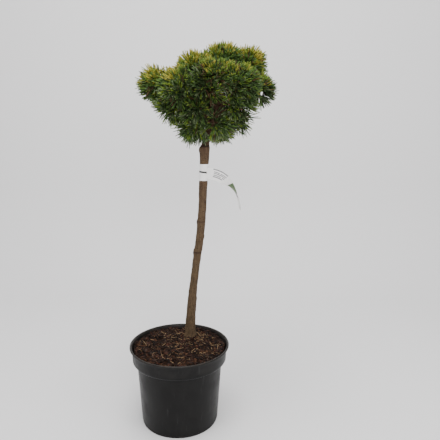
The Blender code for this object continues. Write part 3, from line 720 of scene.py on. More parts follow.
# Painted shadow in the notch, and the two dark scar bands
for low, high in NOTCH_SHADE_AND_SCAR_RINGS:
    colour = tint(tree, height_band(tree, low, high), colour, (0.030, 0.016, 0.010))
colour_by(tree, shader, flecks["Mask"], colour, (0.020, 0.011, 0.007))
rough_by(tree, shader, fibres["Mask"], 0.72, 0.95)
bump(tree, shader, fibres["Height"], 0.0012, 0.9)
stem.data.materials.append(stem_bark)
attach(stem, "root")
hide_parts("stem")

# %% [markdown]
# ## The crown's plan
# The crown is a set of needle masses. Each owns the part of a sphere that lies nearer to it than to its
# neighbours, weighed by their sizes, and one bough brings it what it needs. The plan is the one that
# the solids follow, so twigs and needles that are grown from it fill the same outline.

# %% Masses: (name, centre, reach, height of its bough on the stem or 0, more or less sun than most)
# The sun of a mass picks its tints: more or less gold, and painted light and shade, such as light from the
# pale floor on the low masses
MASSES = (
    ("left", (-0.055, 0.054, 0.8785), 0.053, 0.792, 0.52),
    ("low_left", (-0.0105, 0.0335, 0.8255), 0.053, 0.774, 0.66),
    ("upper_left", (0.037, 0.069, 0.911), 0.057, 0.822, 0.52),
    ("top", (0.107, 0.082, 0.936), 0.057, 0.844, 0.18),
    ("upper_right", (0.177, 0.087, 0.934), 0.049, 0.831, 0.12),
    ("right", (0.201, 0.059, 0.865), 0.0475, 0.808, -0.08),
    ("front", (0.084, -0.006, 0.88), 0.06, 0.829, 0.1),
    ("front_right", (0.148, 0.002, 0.874), 0.057, 0.82, 0.08),
    ("front_left", (0.008, 0.0, 0.862), 0.058, 0.806, 0.04),
    ("mid_front", (0.044, 0.01, 0.826), 0.048, 0.783, 0.18),
    ("mid_right", (0.148, 0.025, 0.835), 0.049, 0.796, 0.28),
    ("low_front", (0.04, 0.034, 0.779), 0.05, 0.0, 0.76),
    ("low_right", (0.143, 0.074, 0.799), 0.05, 0.782, 0.72),
    ("under", (0.102, 0.098, 0.78), 0.048, 0.0, 0.2),
    ("low_middle", (0.098, 0.021, 0.7845), 0.046, 0.0, 0.7),
    ("back_left", (0.022, 0.14, 0.885), 0.064, 0.806, 0.0),
    ("back_right", (0.148, 0.148, 0.89), 0.066, 0.817, 0.0),
    ("back_low", (0.078, 0.142, 0.832), 0.06, 0.778, 0.0),
)
DIRECT_HEIGHT = {"low_front": 0.757, "under": 0.762, "low_middle": 0.768}
CROWN_HEART = Vector((0.078, 0.064, 0.845))
BOUGH_RADIUS = 0.0042
BOUGH_TIP_RADIUS = 0.0030
BOUGH_LEVEL = 0.62  # how far a bough runs level before it rises
BOUGH_LIFT = 0.16
BOUGH_STEPS = 30
ENTRY = 0.72  # share of the reach at which a bough enters its mass, or less where that is taken
ENTRY_ROOM = 0.004
HUB = 0.30  # share of the reach at which its twigs begin
HUB_RADIUS = 0.0019
INNER_STEPS = 8
STALK_RADIUS = 0.0029  # of the masses that grow straight from the stem
CREASE = 0.010  # how softly one mass's outline runs into the next

centres = np.array([row[1] for row in MASSES])
reaches = np.array([row[2] for row in MASSES])
print(len(MASSES), "masses")

# %% Room inside the crown
def wall_room(points, owner):
    """How far each point lies on its owner's side of the walls between neighbours."""
    own = ((points - centres[owner]) ** 2).sum(axis=1) - reaches[owner] ** 2
    room = np.full(len(points), np.inf)
    for other in range(len(MASSES)):
        apart = np.linalg.norm(centres[other] - centres[owner], axis=1)
        theirs = ((points - centres[other]) ** 2).sum(axis=1) - reaches[other] ** 2
        wall = (theirs - own) / (2.0 * np.maximum(apart, 1e-6))
        room = np.minimum(room, np.where(owner == other, np.inf, wall))
    return room


def point_room(point, owner):
    """How far one point lies inside its owner's space."""
    spot = np.array([point[:]])
    far = np.linalg.norm(spot[0] - centres[owner])
    return min(float(wall_room(spot, np.array([owner]))[0]), reaches[owner] - far)


def crown_room(points):
    """How far each point lies inside the whole crown, whose masses run softly into each other."""
    total = np.zeros(len(points))
    for centre, reach in zip(centres, reaches):
        total += np.exp((reach - np.linalg.norm(points - centre, axis=1)) / CREASE)
    return CREASE * np.log(total)


def arched(start, lift, end, t):
    """Place on a curve from start to end that is drawn towards lift, at a share of its length."""
    return start * (1 - t) ** 2 + lift * (2 * t * (1 - t)) + end * t * t


def bezier(start, lift, end, steps):
    """Points along such a curve."""
    return [arched(start, lift, end, step / steps) for step in range(steps + 1)]


def straight(start, end, steps):
    """Points on a straight line."""
    return [start.lerp(end, step / steps) for step in range(steps + 1)]


def tapered(first, last, steps):
    """Radii that run evenly from the first to the last."""
    return [first + (last - first) * step / steps for step in range(steps + 1)]

# %% Boughs, from the stem's axis to the hub of each mass
class Bough:
    """The limb of one mass: its path, its radii and the hub where its twigs begin."""

    def __init__(self, owner):
        self.name, centre, self.reach, spring, self.sun = MASSES[owner]
        self.owner = owner
        self.centre = Vector(centre)
        root = stem_point(spring if spring else DIRECT_HEIGHT[self.name])
        inward = (root - self.centre).normalized() * self.reach
        self.hub = self.centre + inward * HUB
        if not spring:
            self.path = straight(root, self.hub, BOUGH_STEPS)
            self.radii = tapered(STALK_RADIUS, HUB_RADIUS, BOUGH_STEPS)
            return
        share = ENTRY
        while share > HUB and point_room(self.centre + inward * share, owner) < ENTRY_ROOM:
            share -= 0.01
        entry = self.centre + inward * share
        level = Vector((entry.x - root.x, entry.y - root.y, 0.0))
        lift = root + level * BOUGH_LEVEL + Vector((0.0, 0.0, (entry - root).length * BOUGH_LIFT))
        foot = 0.48 * STEM[-1][2] if spring >= STEM_TIP else BOUGH_RADIUS
        self.path = bezier(root, lift, entry, BOUGH_STEPS) + straight(entry, self.hub, INNER_STEPS)[1:]
        self.radii = tapered(foot, BOUGH_TIP_RADIUS, BOUGH_STEPS)
        self.radii += tapered(BOUGH_TIP_RADIUS, HUB_RADIUS, INNER_STEPS)[1:]


boughs = [Bough(owner) for owner in range(len(MASSES))]
print(len(boughs), "boughs and short stalks")

# %% The limbs that needles keep off: pieces of the boughs and of the stem's end
segments = []
for low, high in zip(np.linspace(0.70, 0.84, 15), np.linspace(0.71, 0.844, 15)):
    segments.append((stem_point(low), stem_point(high), stem_radius(low)))
for bough in boughs:
    for index in range(0, len(bough.path) - 3, 3):
        segments.append((bough.path[index], bough.path[index + 3], bough.radii[index]))
limb_from = np.array([start[:] for start, end, radius in segments])
limb_along = np.array([(end - start)[:] for start, end, radius in segments])
limb_radius = np.array([radius for start, end, radius in segments])
limb_square = (limb_along ** 2).sum(axis=1)


def limb_room(points):
    """Distance from each point to the skin of the nearest limb."""
    rooms = []
    for block in np.array_split(points, max(len(points) // 4000, 1)):
        offset = block[:, None] - limb_from[None]
        share = np.clip((offset * limb_along).sum(axis=2) / limb_square, 0.0, 1.0)
        away = np.linalg.norm(offset - share[..., None] * limb_along, axis=2)
        rooms.append((away - limb_radius).min(axis=1))
    return np.concatenate(rooms)

# %% Bough bark: the stem's finish on finer relief, with swollen feet and the bumps of old needles
BOUGH_RESOLUTION = 7
FLARE = 0.0022
FLARE_FROM = 0.006
FLARE_LENGTH = 0.007
LEAF_SCARS, BUMPS = (300.0, 0.0004), (95.0, 0.0006)

limbs = []
for bough in boughs:
    limb = tube("bough_" + bough.name, bough.path, bough.radii, BOUGH_RESOLUTION)
    path = np.array([point[:] for point in bough.path])
    for vert in limb.data.vertices:
        spot = np.array(vert.co)
        index = int(((path - spot) ** 2).sum(axis=1).argmin())
        outward = Vector(spot - path[index])
        if outward.length < 0.0003:
            continue
        travelled = (bough.path[index] - bough.path[0]).length
        flare = FLARE * math.exp(-max(travelled - FLARE_FROM, 0.0) / FLARE_LENGTH)
        bumps = relief(vert.co, *LEAF_SCARS) + relief(vert.co, *BUMPS)
        vert.co += outward.normalized() * (flare + bumps)
    limbs.append(limb)
bough_bark = joined(limbs, "bough_bark")
smooth(bough_bark, 180.0)
bough_bark.data.materials.append(stem_bark)
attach(bough_bark, "root")
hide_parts(*["bough_" + row[0] for row in MASSES if row[3]])
print("boughs", triangles(bough_bark), "triangles")

# %% [markdown]
# ## Twigs
# A pine branches in whorls, and each twig ends in a brush of needles round a bud. The rule: tips are
# spread evenly inside a mass's space, and each grows from the nearest point of what is there already
# and bends upwards. The first round of tips is the one in the solids, and finer rounds fill between.

# %% Twig sizes and rounds
GOLDEN = math.pi * (3.0 - math.sqrt(5.0))
TWIG_SAG = 0.12
TWIG_LEAN = 0.28  # finer twigs turn up and away from the crown's heart
TWIG_STEPS = 8
SHOOT_ROOM = 0.004  # from the walls between masses
LIMB_ROOM = 0.0015  # from the skin of boughs and stem
# Tips that close a hole in front of the forks of the boughs
CLOSING_TIPS = (
    (0.126, -0.012, 0.826), (0.132, -0.004, 0.812), (0.118, -0.006, 0.815), (0.138, -0.014, 0.834),
    (0.124, -0.020, 0.838),
)
# Rounds of tips: how many are tried, how deep below the reach and how unevenly, how far they may face
# inwards, and how far apart they stay
ROUNDS = (
    (12, 0.025, 0.0, -0.1, 0.0),
    (84, 0.031, 0.009, -0.7, 0.0205),
    (70, 0.046, 0.007, -0.95, 0.019),
)

# %% Growing the shoots
def even_directions(count, chance):
    """Directions spread evenly over a sphere, turned by chance."""
    start = chance.uniform(0.0, 2.0 * math.pi)
    directions = []
    for index in range(count):
        z = 1.0 - 2.0 * (index + 0.5) / count
        flat = math.sqrt(1.0 - z * z)
        angle = start + GOLDEN * index
        directions.append(Vector((flat * math.cos(angle), flat * math.sin(angle), z)))
    return directions


def nearest(nodes, tip):
    """The node that a tip grows from."""
    return min(nodes, key=lambda node: (node - tip).length)


def grow_shoots(bough):
    """A mass's shoots, as (bough, path, round)."""
    chance = random.Random("shoots of " + bough.name)
    outward = (bough.centre - CROWN_HEART).normalized()
    nodes = [bough.hub]
    grown = []
    for depth, (count, inset, uneven, facing, spacing) in enumerate(ROUNDS):
        for direction in even_directions(count, chance):
            below = inset + chance.uniform(-uneven, uneven)
            tip = bough.centre + direction * max(bough.reach - below, 0.006)
            if direction.dot(outward) < facing or point_room(tip, bough.owner) < SHOOT_ROOM:
                continue
            if any((tip - path[-1]).length < spacing for before, path, level in grown):
                continue
            node = nearest(nodes, tip)
            lean = ((tip - CROWN_HEART).normalized() + Vector((0.0, 0.0, 0.5))) * TWIG_LEAN * min(depth, 1)
            lift = node.lerp(tip, 0.5) - (Vector((0.0, 0.0, TWIG_SAG)) + lean) * (tip - node).length
            path = bezier(node, lift, tip, TWIG_STEPS)
            if limb_room(np.array([point[:] for point in path[3:]])).min() < LIMB_ROOM:
                continue
            grown.append((bough, path, depth))
            nodes += [path[2], path[4]]
    for tip in map(Vector, CLOSING_TIPS):
        if point_room(tip, bough.owner) > 0.0:
            node = nearest(nodes, tip)
            grown.append((bough, bezier(node, node.lerp(tip, 0.5), tip, TWIG_STEPS), len(ROUNDS) - 1))
    return grown


shoots = [shoot for bough in boughs for shoot in grow_shoots(bough)]
for level in range(len(ROUNDS)):
    print(sum(depth == level for bough, path, depth in shoots), "shoots of round", level)

# %% Round tubes as arrays
def ring_tubes(paths, radii, sides):
    """Round tubes along many paths of the same number of points: points and triangles."""
    paths = np.asarray(paths)
    count, rings = paths.shape[:2]
    tangents = np.gradient(paths, axis=1)
    tangents /= np.linalg.norm(tangents, axis=2, keepdims=True)
    side_hint = np.where(np.abs(tangents[:, :1, 2:3]) < 0.9, [[[0.0, 0.0, 1.0]]], [[[1.0, 0.0, 0.0]]])
    across = np.cross(tangents, side_hint)
    across /= np.linalg.norm(across, axis=2, keepdims=True)
    up = np.cross(tangents, across)
    angles = np.arange(sides) * 2.0 * math.pi / sides
    arms = across[:, :, None] * np.cos(angles)[None, None, :, None]
    arms = arms + up[:, :, None] * np.sin(angles)[None, None, :, None]
    points = paths[:, :, None] + arms * np.asarray(radii)[None, :, None, None]
    faces = []
    for ring in range(rings - 1):
        for side in range(sides):
            a, b = ring * sides + side, ring * sides + (side + 1) % sides
            faces += [(a, b, b + sides), (a, b + sides, a + sides)]
    for side in range(1, sides - 1):
        faces.append((0, side + 1, side))
        top = (rings - 1) * sides
        faces.append((top, top + side, top + side + 1))
    return points.reshape(-1, 3), repeat_faces(np.array(faces), count, rings * sides)

# %% Twig wood
TWIG_SIDES = 7
TWIG_RADII = np.array([1.00, 0.95, 0.90, 0.95, 1.00, 1.05, 1.05, 1.0, 0.8]) * 0.0016

twig_wood = speckled(
    "twig_wood", (0.085, 0.045, 0.024), 0.80, (700.0, 0.40, 0.62),
    (0.050, 0.027, 0.015), (0.135, 0.078, 0.042), (0.0006, 0.8),
)
twig_paths = [[point[:] for point in path] for bough, path, depth in shoots]
twigs = mesh_from_arrays("twigs", *ring_tubes(twig_paths, TWIG_RADII, TWIG_SIDES), twig_wood)
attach(twigs, "root")
print("twigs", triangles(twigs), "triangles")

# %% Buds
BUD_RINGS = ((0.0, 1.0), (0.0018, 1.25), (0.0042, 0.95), (0.0062, 0.50), (0.0074, 0.12))  # (out, share)
BUD_RADIUS = 0.0015

bud_scales = speckled(
    "bud_scales", (0.200, 0.110, 0.055), 0.55, (900.0, 0.40, 0.60),
    (0.130, 0.060, 0.030), (0.300, 0.190, 0.100), (0.0004, 0.7),
)
bud_paths = []
for bough, path, depth in shoots:
    ahead = (path[-1] - path[-2]).normalized()
    bud_paths.append([(path[-1] + ahead * out)[:] for out, share in BUD_RINGS])
bud_radii = [share * BUD_RADIUS for out, share in BUD_RINGS]
buds = mesh_from_arrays("buds", *ring_tubes(bud_paths, bud_radii, TWIG_SIDES), bud_scales)
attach(buds, "root")
print("buds", triangles(buds), "triangles")

# %% [markdown]
# ## Needles
# This pine bears its needles in pairs, 30 to 50 mm long, set in a spiral round the end of each shoot and
# swept away from the crown's heart. They are green, and their outer halves turn gold where the winter
# sun falls. A needle is a three-sided spike of a few faces with a slight bend, made in two lengths so
# that each half has a plain colour. The colours are dealt out spray by spray.
# Darker tints deep in the crown and on shoots that hang down are painted shade.

# %% Needle sizes
PAIRS = (42, 40, 27)  # on a shoot of each round
BRUSH = 0.036
BRUSH_MOST = 0.88  # of the shoot's own length
NEEDLE_LENGTH = 0.046
NEEDLE_WIDTH = 0.0023
NEEDLE_DROOP = np.array((0.0, 0.0, 0.03))
PAIR_SPREAD = math.radians(4.5)
WIDE_OPENING = 76.0  # degrees between a needle and its shoot, low on the brush
TIP_OPENING = 20.0
COMB = 0.85  # how far needles are swept away from the crown's heart
WALL_GIVE = 0.020  # how far needles may reach into the next mass
NEEDLE_SHARES = (1.0, 0.94, 0.88, 0.82, 0.76, 0.70)  # lengths that are tried, of the whole
# How far needles reach out of the crown's outline: (least, mostly, most)
EVEN = (-0.016, 0.000, 0.009)
LOOSE = (-0.028, -0.004, 0.017)
LOW_LOOSE = 0.815  # shoots that end below this height are loose, and show more glint
print("needles up to", round(1.08 * NEEDLE_LENGTH, 3), "m long")

# %% Tints, from the sunniest to the darkest, then dry needles and the glint on some in the shade; the darkest tints are painted shade
TINTS = (
    ("gold", (0.388, 0.332, 0.048), "gold_needles"),
    ("old_gold", (0.246, 0.258, 0.030), "gold_needles"),
    ("lime", (0.160, 0.228, 0.026), "gold_needles"),
    ("fresh", (0.090, 0.162, 0.028), "green_needles"),
    ("green", (0.060, 0.110, 0.031), "green_needles"),
    ("deep", (0.042, 0.072, 0.024), "dark_needles"),
    ("shade", (0.028, 0.038, 0.012), "dark_needles"),
    ("rust", (0.110, 0.062, 0.030), "dark_needles"),
    ("pale", (0.165, 0.205, 0.105), "green_needles"),
)
TINT_STEPS = (0.93, 0.70, 0.42, 0.06, -0.34, -0.66)  # least sun for each tint down to deep
LIME, SHADE, RUST, PALE = 2, 6, 7, 8  # places in that list
SHADY = 0.30  # shoots with less sun are dealt no gold
LOW_GOLD = 0.835  # nor are shoots that end below this height
# How many steps the outer and inner halves stray from their spray's tint: (mean, spread)
DEAL, SHADY_DEAL, INNER_DEAL = (0.0, 1.25), (-0.35, 1.60), (0.3, 0.8)
BROWN_HEART = (0.090, -0.020, 0.862)  # round here more needles are dry
BROWN_REACH = 0.042
print(len(TINTS), "tints")

# %% Thin places and long needles
# Thin places in the crown, where the stem or the sky shows: (from, to, radius, share of needles missing)
THIN = (
    ((0.0777, -0.08, 0.7619), (0.0741, 0.055, 0.7649), 0.007, 0.9),
    ((0.086, -0.08, 0.7806), (0.0836, 0.055, 0.786), 0.009, 0.95),
    ((0.0956, -0.08, 0.7996), (0.0944, 0.055, 0.8075), 0.008, 0.93),
    ((0.1016, -0.08, 0.8187), (0.1011, 0.055, 0.829), 0.005, 0.85),
    ((0.2016, -0.06, 0.8463), (0.2264, 0.22, 0.8746), 0.006, 1.0),
    ((0.1518, -0.06, 0.8103), (0.1641, 0.22, 0.8292), 0.005, 0.9),
    ((0.1633, -0.06, 0.8127), (0.1785, 0.22, 0.8322), 0.005, 0.95),
    ((0.086, 0.0, 0.866), (0.086, -0.09, 0.86), 0.028, 0.4),
    ((0.0085, 0.0, 0.944), (0.0085, 0.14, 0.968), 0.022, 0.45),
    ((-0.0455, 0.0, 0.9224), (-0.0642, 0.14, 0.9453), 0.01, 0.8),
    ((-0.0167, 0.0, 0.9271), (-0.0319, 0.14, 0.9506), 0.014, 0.8),
    ((-0.0317, -0.03, 0.795), (-0.0504, 0.12, 0.8027), 0.016, 0.65),
    ((-0.0035, -0.03, 0.7696), (-0.0184, 0.12, 0.7738), 0.016, 0.4),
    ((0.1584, -0.03, 0.7753), (0.1657, 0.12, 0.7804), 0.017, 0.5),
    ((0.1747, -0.03, 0.7964), (0.1842, 0.12, 0.8043), 0.014, 0.65),
    ((0.142, -0.03, 0.7565), (0.147, 0.12, 0.759), 0.012, 0.5),
)
# Places where some needles stand far out of the crown
STRAYS = ((0.0035, 0.03, 0.766), (-0.012, 0.02, 0.776), (0.178, 0.03, 0.789), (0.162, 0.02, 0.772))
STRAY_REACH = 0.020
STRAY_LUCK = 0.72
STRAY_GIVE = 0.024
print(len(THIN), "thin places")

# %% Light on the crown, which is painted into the needles' tints
SKIN = 0.026  # shoots this far below the crown's top are still in the open
OPEN_LIGHT, SHADE_DEPTH = 0.52, 0.030
LOST_LIGHT, DARK_DEPTH = 0.20, 0.110
UPRIGHT_LIGHT = 0.24
# Patches that get more or less sun, painted into their tints as light and shade: (place, radius, change)
PATCHES = (
    ((-0.0319, 0.02, 0.8718), 0.018, -1.0), ((0.0429, 0.0, 0.8954), 0.02, -0.8),
    ((0.1148, 0.04, 0.9489), 0.018, -0.8), ((0.1656, 0.07, 0.9546), 0.02, 0.9),
    ((-0.004, -0.015, 0.892), 0.025, 0.8), ((0.0167, 0.04, 0.923), 0.022, 0.6),
    ((0.033, 0.06, 0.956), 0.018, 0.45), ((0.1502, -0.03, 0.849), 0.022, 0.3),
    ((0.0055, -0.04, 0.865), 0.022, 0.2), ((0.067, 0.0, 0.7589), 0.02, 0.2),
    ((0.1087, 0.0, 0.7592), 0.02, 0.3), ((0.072, -0.01, 0.925), 0.022, -0.5),
    ((0.006, 0.015, 0.912), 0.02, 0.55),
)


def nearness(place, spot, radius):
    """1 at a spot, and less with distance from it."""
    return math.exp(-((place - np.array(spot)) ** 2).sum() / radius ** 2)


def tint_of(sun):
    """Index of the tint for an amount of sun."""
    return sum(sun <= least for least in TINT_STEPS)


def daylight(place, heading):
    """Light on a shoot, painted into its tints: less with depth below the crown's top, and for shoots that
    hang down.
    """
    away = ((centres[:, :2] - place[:2]) ** 2).sum(axis=1)
    over = centres[:, 2] + np.sqrt(np.maximum(reaches ** 2 - away, 0.0))
    depth = max(over[away < reaches ** 2].max(initial=place[2]) - SKIN - place[2], 0.0)
    shaded = OPEN_LIGHT * math.exp(-depth / SHADE_DEPTH) - LOST_LIGHT * (1.0 - math.exp(-depth / DARK_DEPTH))
    return shaded + UPRIGHT_LIGHT * heading[2] + clamp(5.0 * (place[2] - 0.925), -0.30, 0.12)


def unit(rows):
    """Directions of length one."""
    return rows / np.linalg.norm(rows, axis=1, keepdims=True)

# %% Setting the needles
heart = np.array(CROWN_HEART)
sprays = []
for number, (bough, path, depth) in enumerate(shoots):
    chance = np.random.default_rng(1000 + number)
    start, end = np.array(path[0]), np.array(path[-1])
    lift = 2.0 * np.array(path[TWIG_STEPS // 2]) - 0.5 * (start + end)
    length = sum((b - a).length for a, b in zip(path, path[1:]))
    brush = min(BRUSH / length, BRUSH_MOST)
    pairs = PAIRS[depth]
    order = (np.arange(pairs) + chance.uniform(0.2, 0.8, pairs)) / pairs
    t = (1.0 - brush * (1.0 - order))[:, None]
    place = arched(start, lift, end, t)
    tangent = unit(2 * (1 - t) * (lift - start) + 2 * t * (end - lift))
    across = unit(np.cross(tangent, np.array((0.31, 0.87, 0.38))))
    up = np.cross(tangent, across)
    angle = (GOLDEN * np.arange(pairs) + chance.normal(0.0, 0.20, pairs))[:, None]
    outward = across * np.cos(angle) + up * np.sin(angle)
    opening = WIDE_OPENING + (TIP_OPENING - WIDE_OPENING) * order ** 1.15 + chance.normal(0.0, 8.0, pairs)
    opening = np.radians(np.clip(opening, 6.0, 95.0))[:, None]
    heading = unit(tangent * np.cos(opening) + outward * np.sin(opening) + COMB * unit(place - heart))
    size = NEEDLE_LENGTH * chance.uniform(0.72, 1.08, pairs) * (1.0 - 0.10 * order)
    # Light: needles with little sun are dealt darker tints, and their inner halves darker still; the gold is
    # their own colour, and the darker tints are painted shade
    patches = sum(change * nearness(end, spot, radius) for spot, radius, change in PATCHES)
    sun = bough.sun + daylight(end, tangent[-1]) + patches + chance.normal(0.0, 0.22)
    shady = sun < SHADY or end[2] < LOW_GOLD
    deal = np.rint(chance.normal(*(SHADY_DEAL if shady else DEAL), pairs)).astype(int)
    inner_deal = np.rint(chance.normal(*INNER_DEAL, pairs)).astype(int)
    outer = np.clip(tint_of(sun) + deal, LIME if shady else 0, SHADE)
    inner = np.clip(tint_of(0.45 * sun - 0.26) + inner_deal, LIME, SHADE)
    outer = np.where(order > 0.30, outer, inner)
    brown = nearness(end, BROWN_HEART, BROWN_REACH)
    old = (order < 0.25 + 0.35 * brown) & (chance.random(pairs) < 0.14 + 0.30 * brown)
    low_down = end[2] < LOW_LOOSE
    # Some shaded needles get the pale tint: their own grey-green with a painted glint of the sky
    glint = shady & (chance.random(pairs) < (0.24 if low_down else 0.12))
    for sign in (-1.0, 1.0):
        twist = PAIR_SPREAD * sign * chance.uniform(0.6, 1.4, pairs)[:, None]
        sprays.append({
            "root": place + outward * 0.0012,
            "heading": heading * np.cos(twist) + np.cross(tangent, outward) * np.sin(twist),
            "bend": tangent * chance.uniform(0.0, 0.12, pairs)[:, None] + NEEDLE_DROOP,
            "length": size * chance.uniform(0.94, 1.0, pairs),
            "owner": np.full(pairs, bough.owner),
            "give": chance.triangular(*(LOOSE if low_down else EVEN), pairs),
            "split": chance.uniform(0.42, 0.72, pairs),
            "luck": chance.random(pairs),
            "inner": np.where(old, RUST, inner),
            "outer": np.where(old, RUST, np.where(glint, PALE, outer)),
        })
needles = {key: np.concatenate([spray[key] for spray in sprays]) for key in sprays[0]}
print(len(needles["root"]), "needles set")

# %% Shortening or skipping what would leave its space, fill a thin place or touch a limb
SKIN_ROOM = 0.0012
WHOLE = (0.25, 0.4, 0.55, 0.7, 0.85, 1.0)  # where along a needle a clear opening is tested


def points_along(share):
    """Places on all the needles at a share of their length."""
    reach = (needles["length"] * share)[:, None]
    return needles["root"] + needles["heading"] * reach + needles["bend"] * reach * share


for spot in STRAYS:
    near = np.linalg.norm(points_along(0.7) - np.array(spot), axis=1) < STRAY_REACH
    needles["give"][near & (needles["luck"] > STRAY_LUCK)] += STRAY_GIVE
kept = np.zeros(len(needles["root"]))
for share in NEEDLE_SHARES:
    tips = points_along(share)
    fits = (crown_room(tips) > -needles["give"]) & (wall_room(tips, needles["owner"]) > -WALL_GIVE)
    kept[fits & (kept == 0.0)] = share
needles["length"] = needles["length"] * kept
for along in (0.35, 0.65, 1.0):
    kept[limb_room(points_along(along)) < SKIN_ROOM] = 0.0
for start, end, radius, missing in THIN:
    start, axis = np.array(start), np.array(end) - np.array(start)
    for along in WHOLE if missing > 0.70 else (0.7,):
        offset = points_along(along) - start
        share = np.clip(offset @ axis / (axis @ axis), 0.0, 1.0)[:, None]
        near = np.linalg.norm(offset - share * axis, axis=1) < radius
        kept[near & (needles["luck"] < missing)] = 0.0
needles = {key: values[kept > 0.0] for key, values in needles.items()}
print(len(needles["root"]), "needles kept")

# %% One half of a needle
INNER_RINGS = ((0.0, 0.75), (1.0, 1.0))  # (share of this half, width)
OUTER_RINGS = ((0.0, 1.0), (0.80, 0.80), (1.0, 0.0))


def half_needles(chosen, low, high, rings):
    """Three-sided lengths of the chosen needles; a ring of no width is a point."""
    root, heading, bend = (needles[key][chosen] for key in ("root", "heading", "bend"))
    length = needles["length"][chosen][:, None]
    across = unit(np.cross(heading, np.array((0.53, 0.21, 0.82))))
    up = np.cross(heading, across)
    columns, faces = [], [(0, 2, 1)]
    for ring, (share, width) in enumerate(rings):
        along = (low + (high - low) * share)[chosen][:, None]
        middle = root + heading * length * along + bend * length * along ** 2
        if width == 0.0:
            columns.append(middle)
            continue
        for side in range(3):
            angle = 2.0 * math.pi * side / 3.0
            arm = across * math.cos(angle) + up * math.sin(angle)
            columns.append(middle + arm * (0.5 * NEEDLE_WIDTH * width))
    for ring, (share, width) in enumerate(rings[1:]):
        for side in range(3):
            a, b = 3 * ring + side, 3 * ring + (side + 1) % 3
            faces += [(a, b, b + 3), (a, b + 3, a + 3)] if width else [(a, b, 3 * ring + 3)]
    last = 3 * (len(rings) - 1)
    if width:
        faces.append((last, last + 1, last + 2))
    points = np.stack(columns, axis=1).reshape(-1, 3)
    return points, repeat_faces(np.array(faces), len(root), len(columns))

# %% Building the needles, each tint apart
MOST_HALVES = 19000  # keeps a piece under 200,000 triangles
GOLD_HEIGHT, GREEN_HEIGHT = 0.900, 0.840  # masses above these carry most of those needles


def slot_at(height):
    """Slot that the mass at a height goes to."""
    if height > GOLD_HEIGHT:
        return "gold_needles"
    return "green_needles" if height > GREEN_HEIGHT else "dark_needles"


total = 0
split = needles["split"]
for index, (name, colour, slot) in enumerate(TINTS):
    look = new_look("needles_" + name, colour, 0.50, Specular_IOR_Level=0.20)[0]
    inner, outer = (np.flatnonzero(needles[half] == index) for half in ("inner", "outer"))
    parts = math.ceil((len(inner) + len(outer)) / MOST_HALVES)
    for part in range(parts):
        low = half_needles(inner[part::parts], np.zeros(len(split)), split, INNER_RINGS)
        high = half_needles(outer[part::parts], split, np.ones(len(split)), OUTER_RINGS)
        points = np.concatenate((low[0], high[0]))
        faces = np.concatenate((low[1], high[1] + len(low[0])))
        piece = mesh_from_arrays("needles_%s_%d" % (name, part), points, faces, look)
        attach(piece, "root")
        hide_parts(*["mass_" + row[0] for row in MASSES if slot_at(row[1][2]) == slot])
        total += triangles(piece)
        print(piece.name, triangles(piece), "triangles")
print("needles in all", total, "triangles")

# %% [markdown]
# ## Fallen needles
# Old needles drop on the compost and dry to straw. They lie flat among the chips, each a thin stick.

# %% Dry needles on the bed
FALLEN = 150
STICK_RADIUS = 0.0006
STICK_FACES = np.array((
    (0, 1, 4), (0, 4, 3), (1, 2, 5), (1, 5, 4), (2, 0, 3), (2, 3, 5), (0, 2, 1), (3, 4, 5),
))

chance = random.Random("fallen needles")
points = []
for x, y in scattered(FALLEN, chance, 0.105):
    turn = chance.uniform(0.0, 2.0 * math.pi)
    half = Vector((math.cos(turn), math.sin(turn), 0.0)) * chance.uniform(0.008, 0.017)
    cross = Vector((-half.y, half.x, 0.0)).normalized()
    for sign in (-1.0, 1.0):
        end = Vector((x, y, 0.0)) + half * sign
        end.z = bed_height(end.x, end.y) + 0.0018
        for side in range(3):
            angle = 2.0 * math.pi * side / 3.0
            rise = Vector((0.0, 0.0, math.sin(angle) * STICK_RADIUS))
            points.append((end + cross * math.cos(angle) * STICK_RADIUS + rise)[:])
straw = new_look("dry_needle", (0.300, 0.190, 0.090), 0.70)[0]
fallen = mesh_from_arrays("fallen_needles", np.array(points), repeat_faces(STICK_FACES, FALLEN, 6), straw)
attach(fallen, "root")
print("fallen needles", triangles(fallen), "triangles")

# %% [markdown]
# ## The loop label
# A plant label is one strip of tough white plastic. Its end is threaded through a slot, so it holds the
# stem in two bands with a slit between them, where the shadow is painted as a dark band, and the free
# end stands off and bends down. The bands are cylinders fitted to the lean of the stem, and the free end
# is a flat grid that is bent along a curve. Its print is plain bars, and a plain green block.

# %% Label sizes
LABEL_LOW = 0.637
LABEL_HIGH = 0.680
LABEL_SLIT = 0.6592
SLIT_WIDTH = 0.0044
SLIT_SLANT = 0.0016
LABEL_THICK = 0.0006
LABEL_TURN = math.radians(80.0)
# The free end leaves the stem and bends down: (x, y from the stem, z)
LABEL_BEND = (
    (0.0702, -0.0096, 0.6566), (0.1205, -0.0190, 0.6563), (0.1568, 0.0016, 0.6110), (0.1584, 0.0061, 0.5598),
)
TAIL_LONG = 150
TAIL_WIDE = 40
TAIL_HALF = 0.0150
TAIL_CORNER = 0.06  # the last part of each end, where the corners are rounded

# %% Label finishes: smudged white plastic, worn print and the painted shadow in the slit
white_plastic = speckled(
    "white_plastic", (0.90, 0.88, 0.86), 0.38, (60.0, 0.45, 0.75),
    (0.97, 0.95, 0.93), (0.87, 0.845, 0.82), rough=(0.34, 0.50), Specular_IOR_Level=0.5,
)
grey_print = speckled(
    "grey_print", (0.33, 0.34, 0.36), 0.45, (500.0, 0.40, 0.60),
    (0.15, 0.147, 0.155), (0.30, 0.295, 0.30),
)
green_print = speckled(
    "green_print", (0.07, 0.22, 0.04), 0.42, (120.0, 0.35, 0.65),
    (0.030, 0.070, 0.016), (0.090, 0.170, 0.036),
)
slot_dark = speckled(
    "slot_dark", (0.030, 0.024, 0.026), 0.60, (400.0, 0.40, 0.62),
    (0.006, 0.005, 0.005), (0.020, 0.016, 0.016),
)

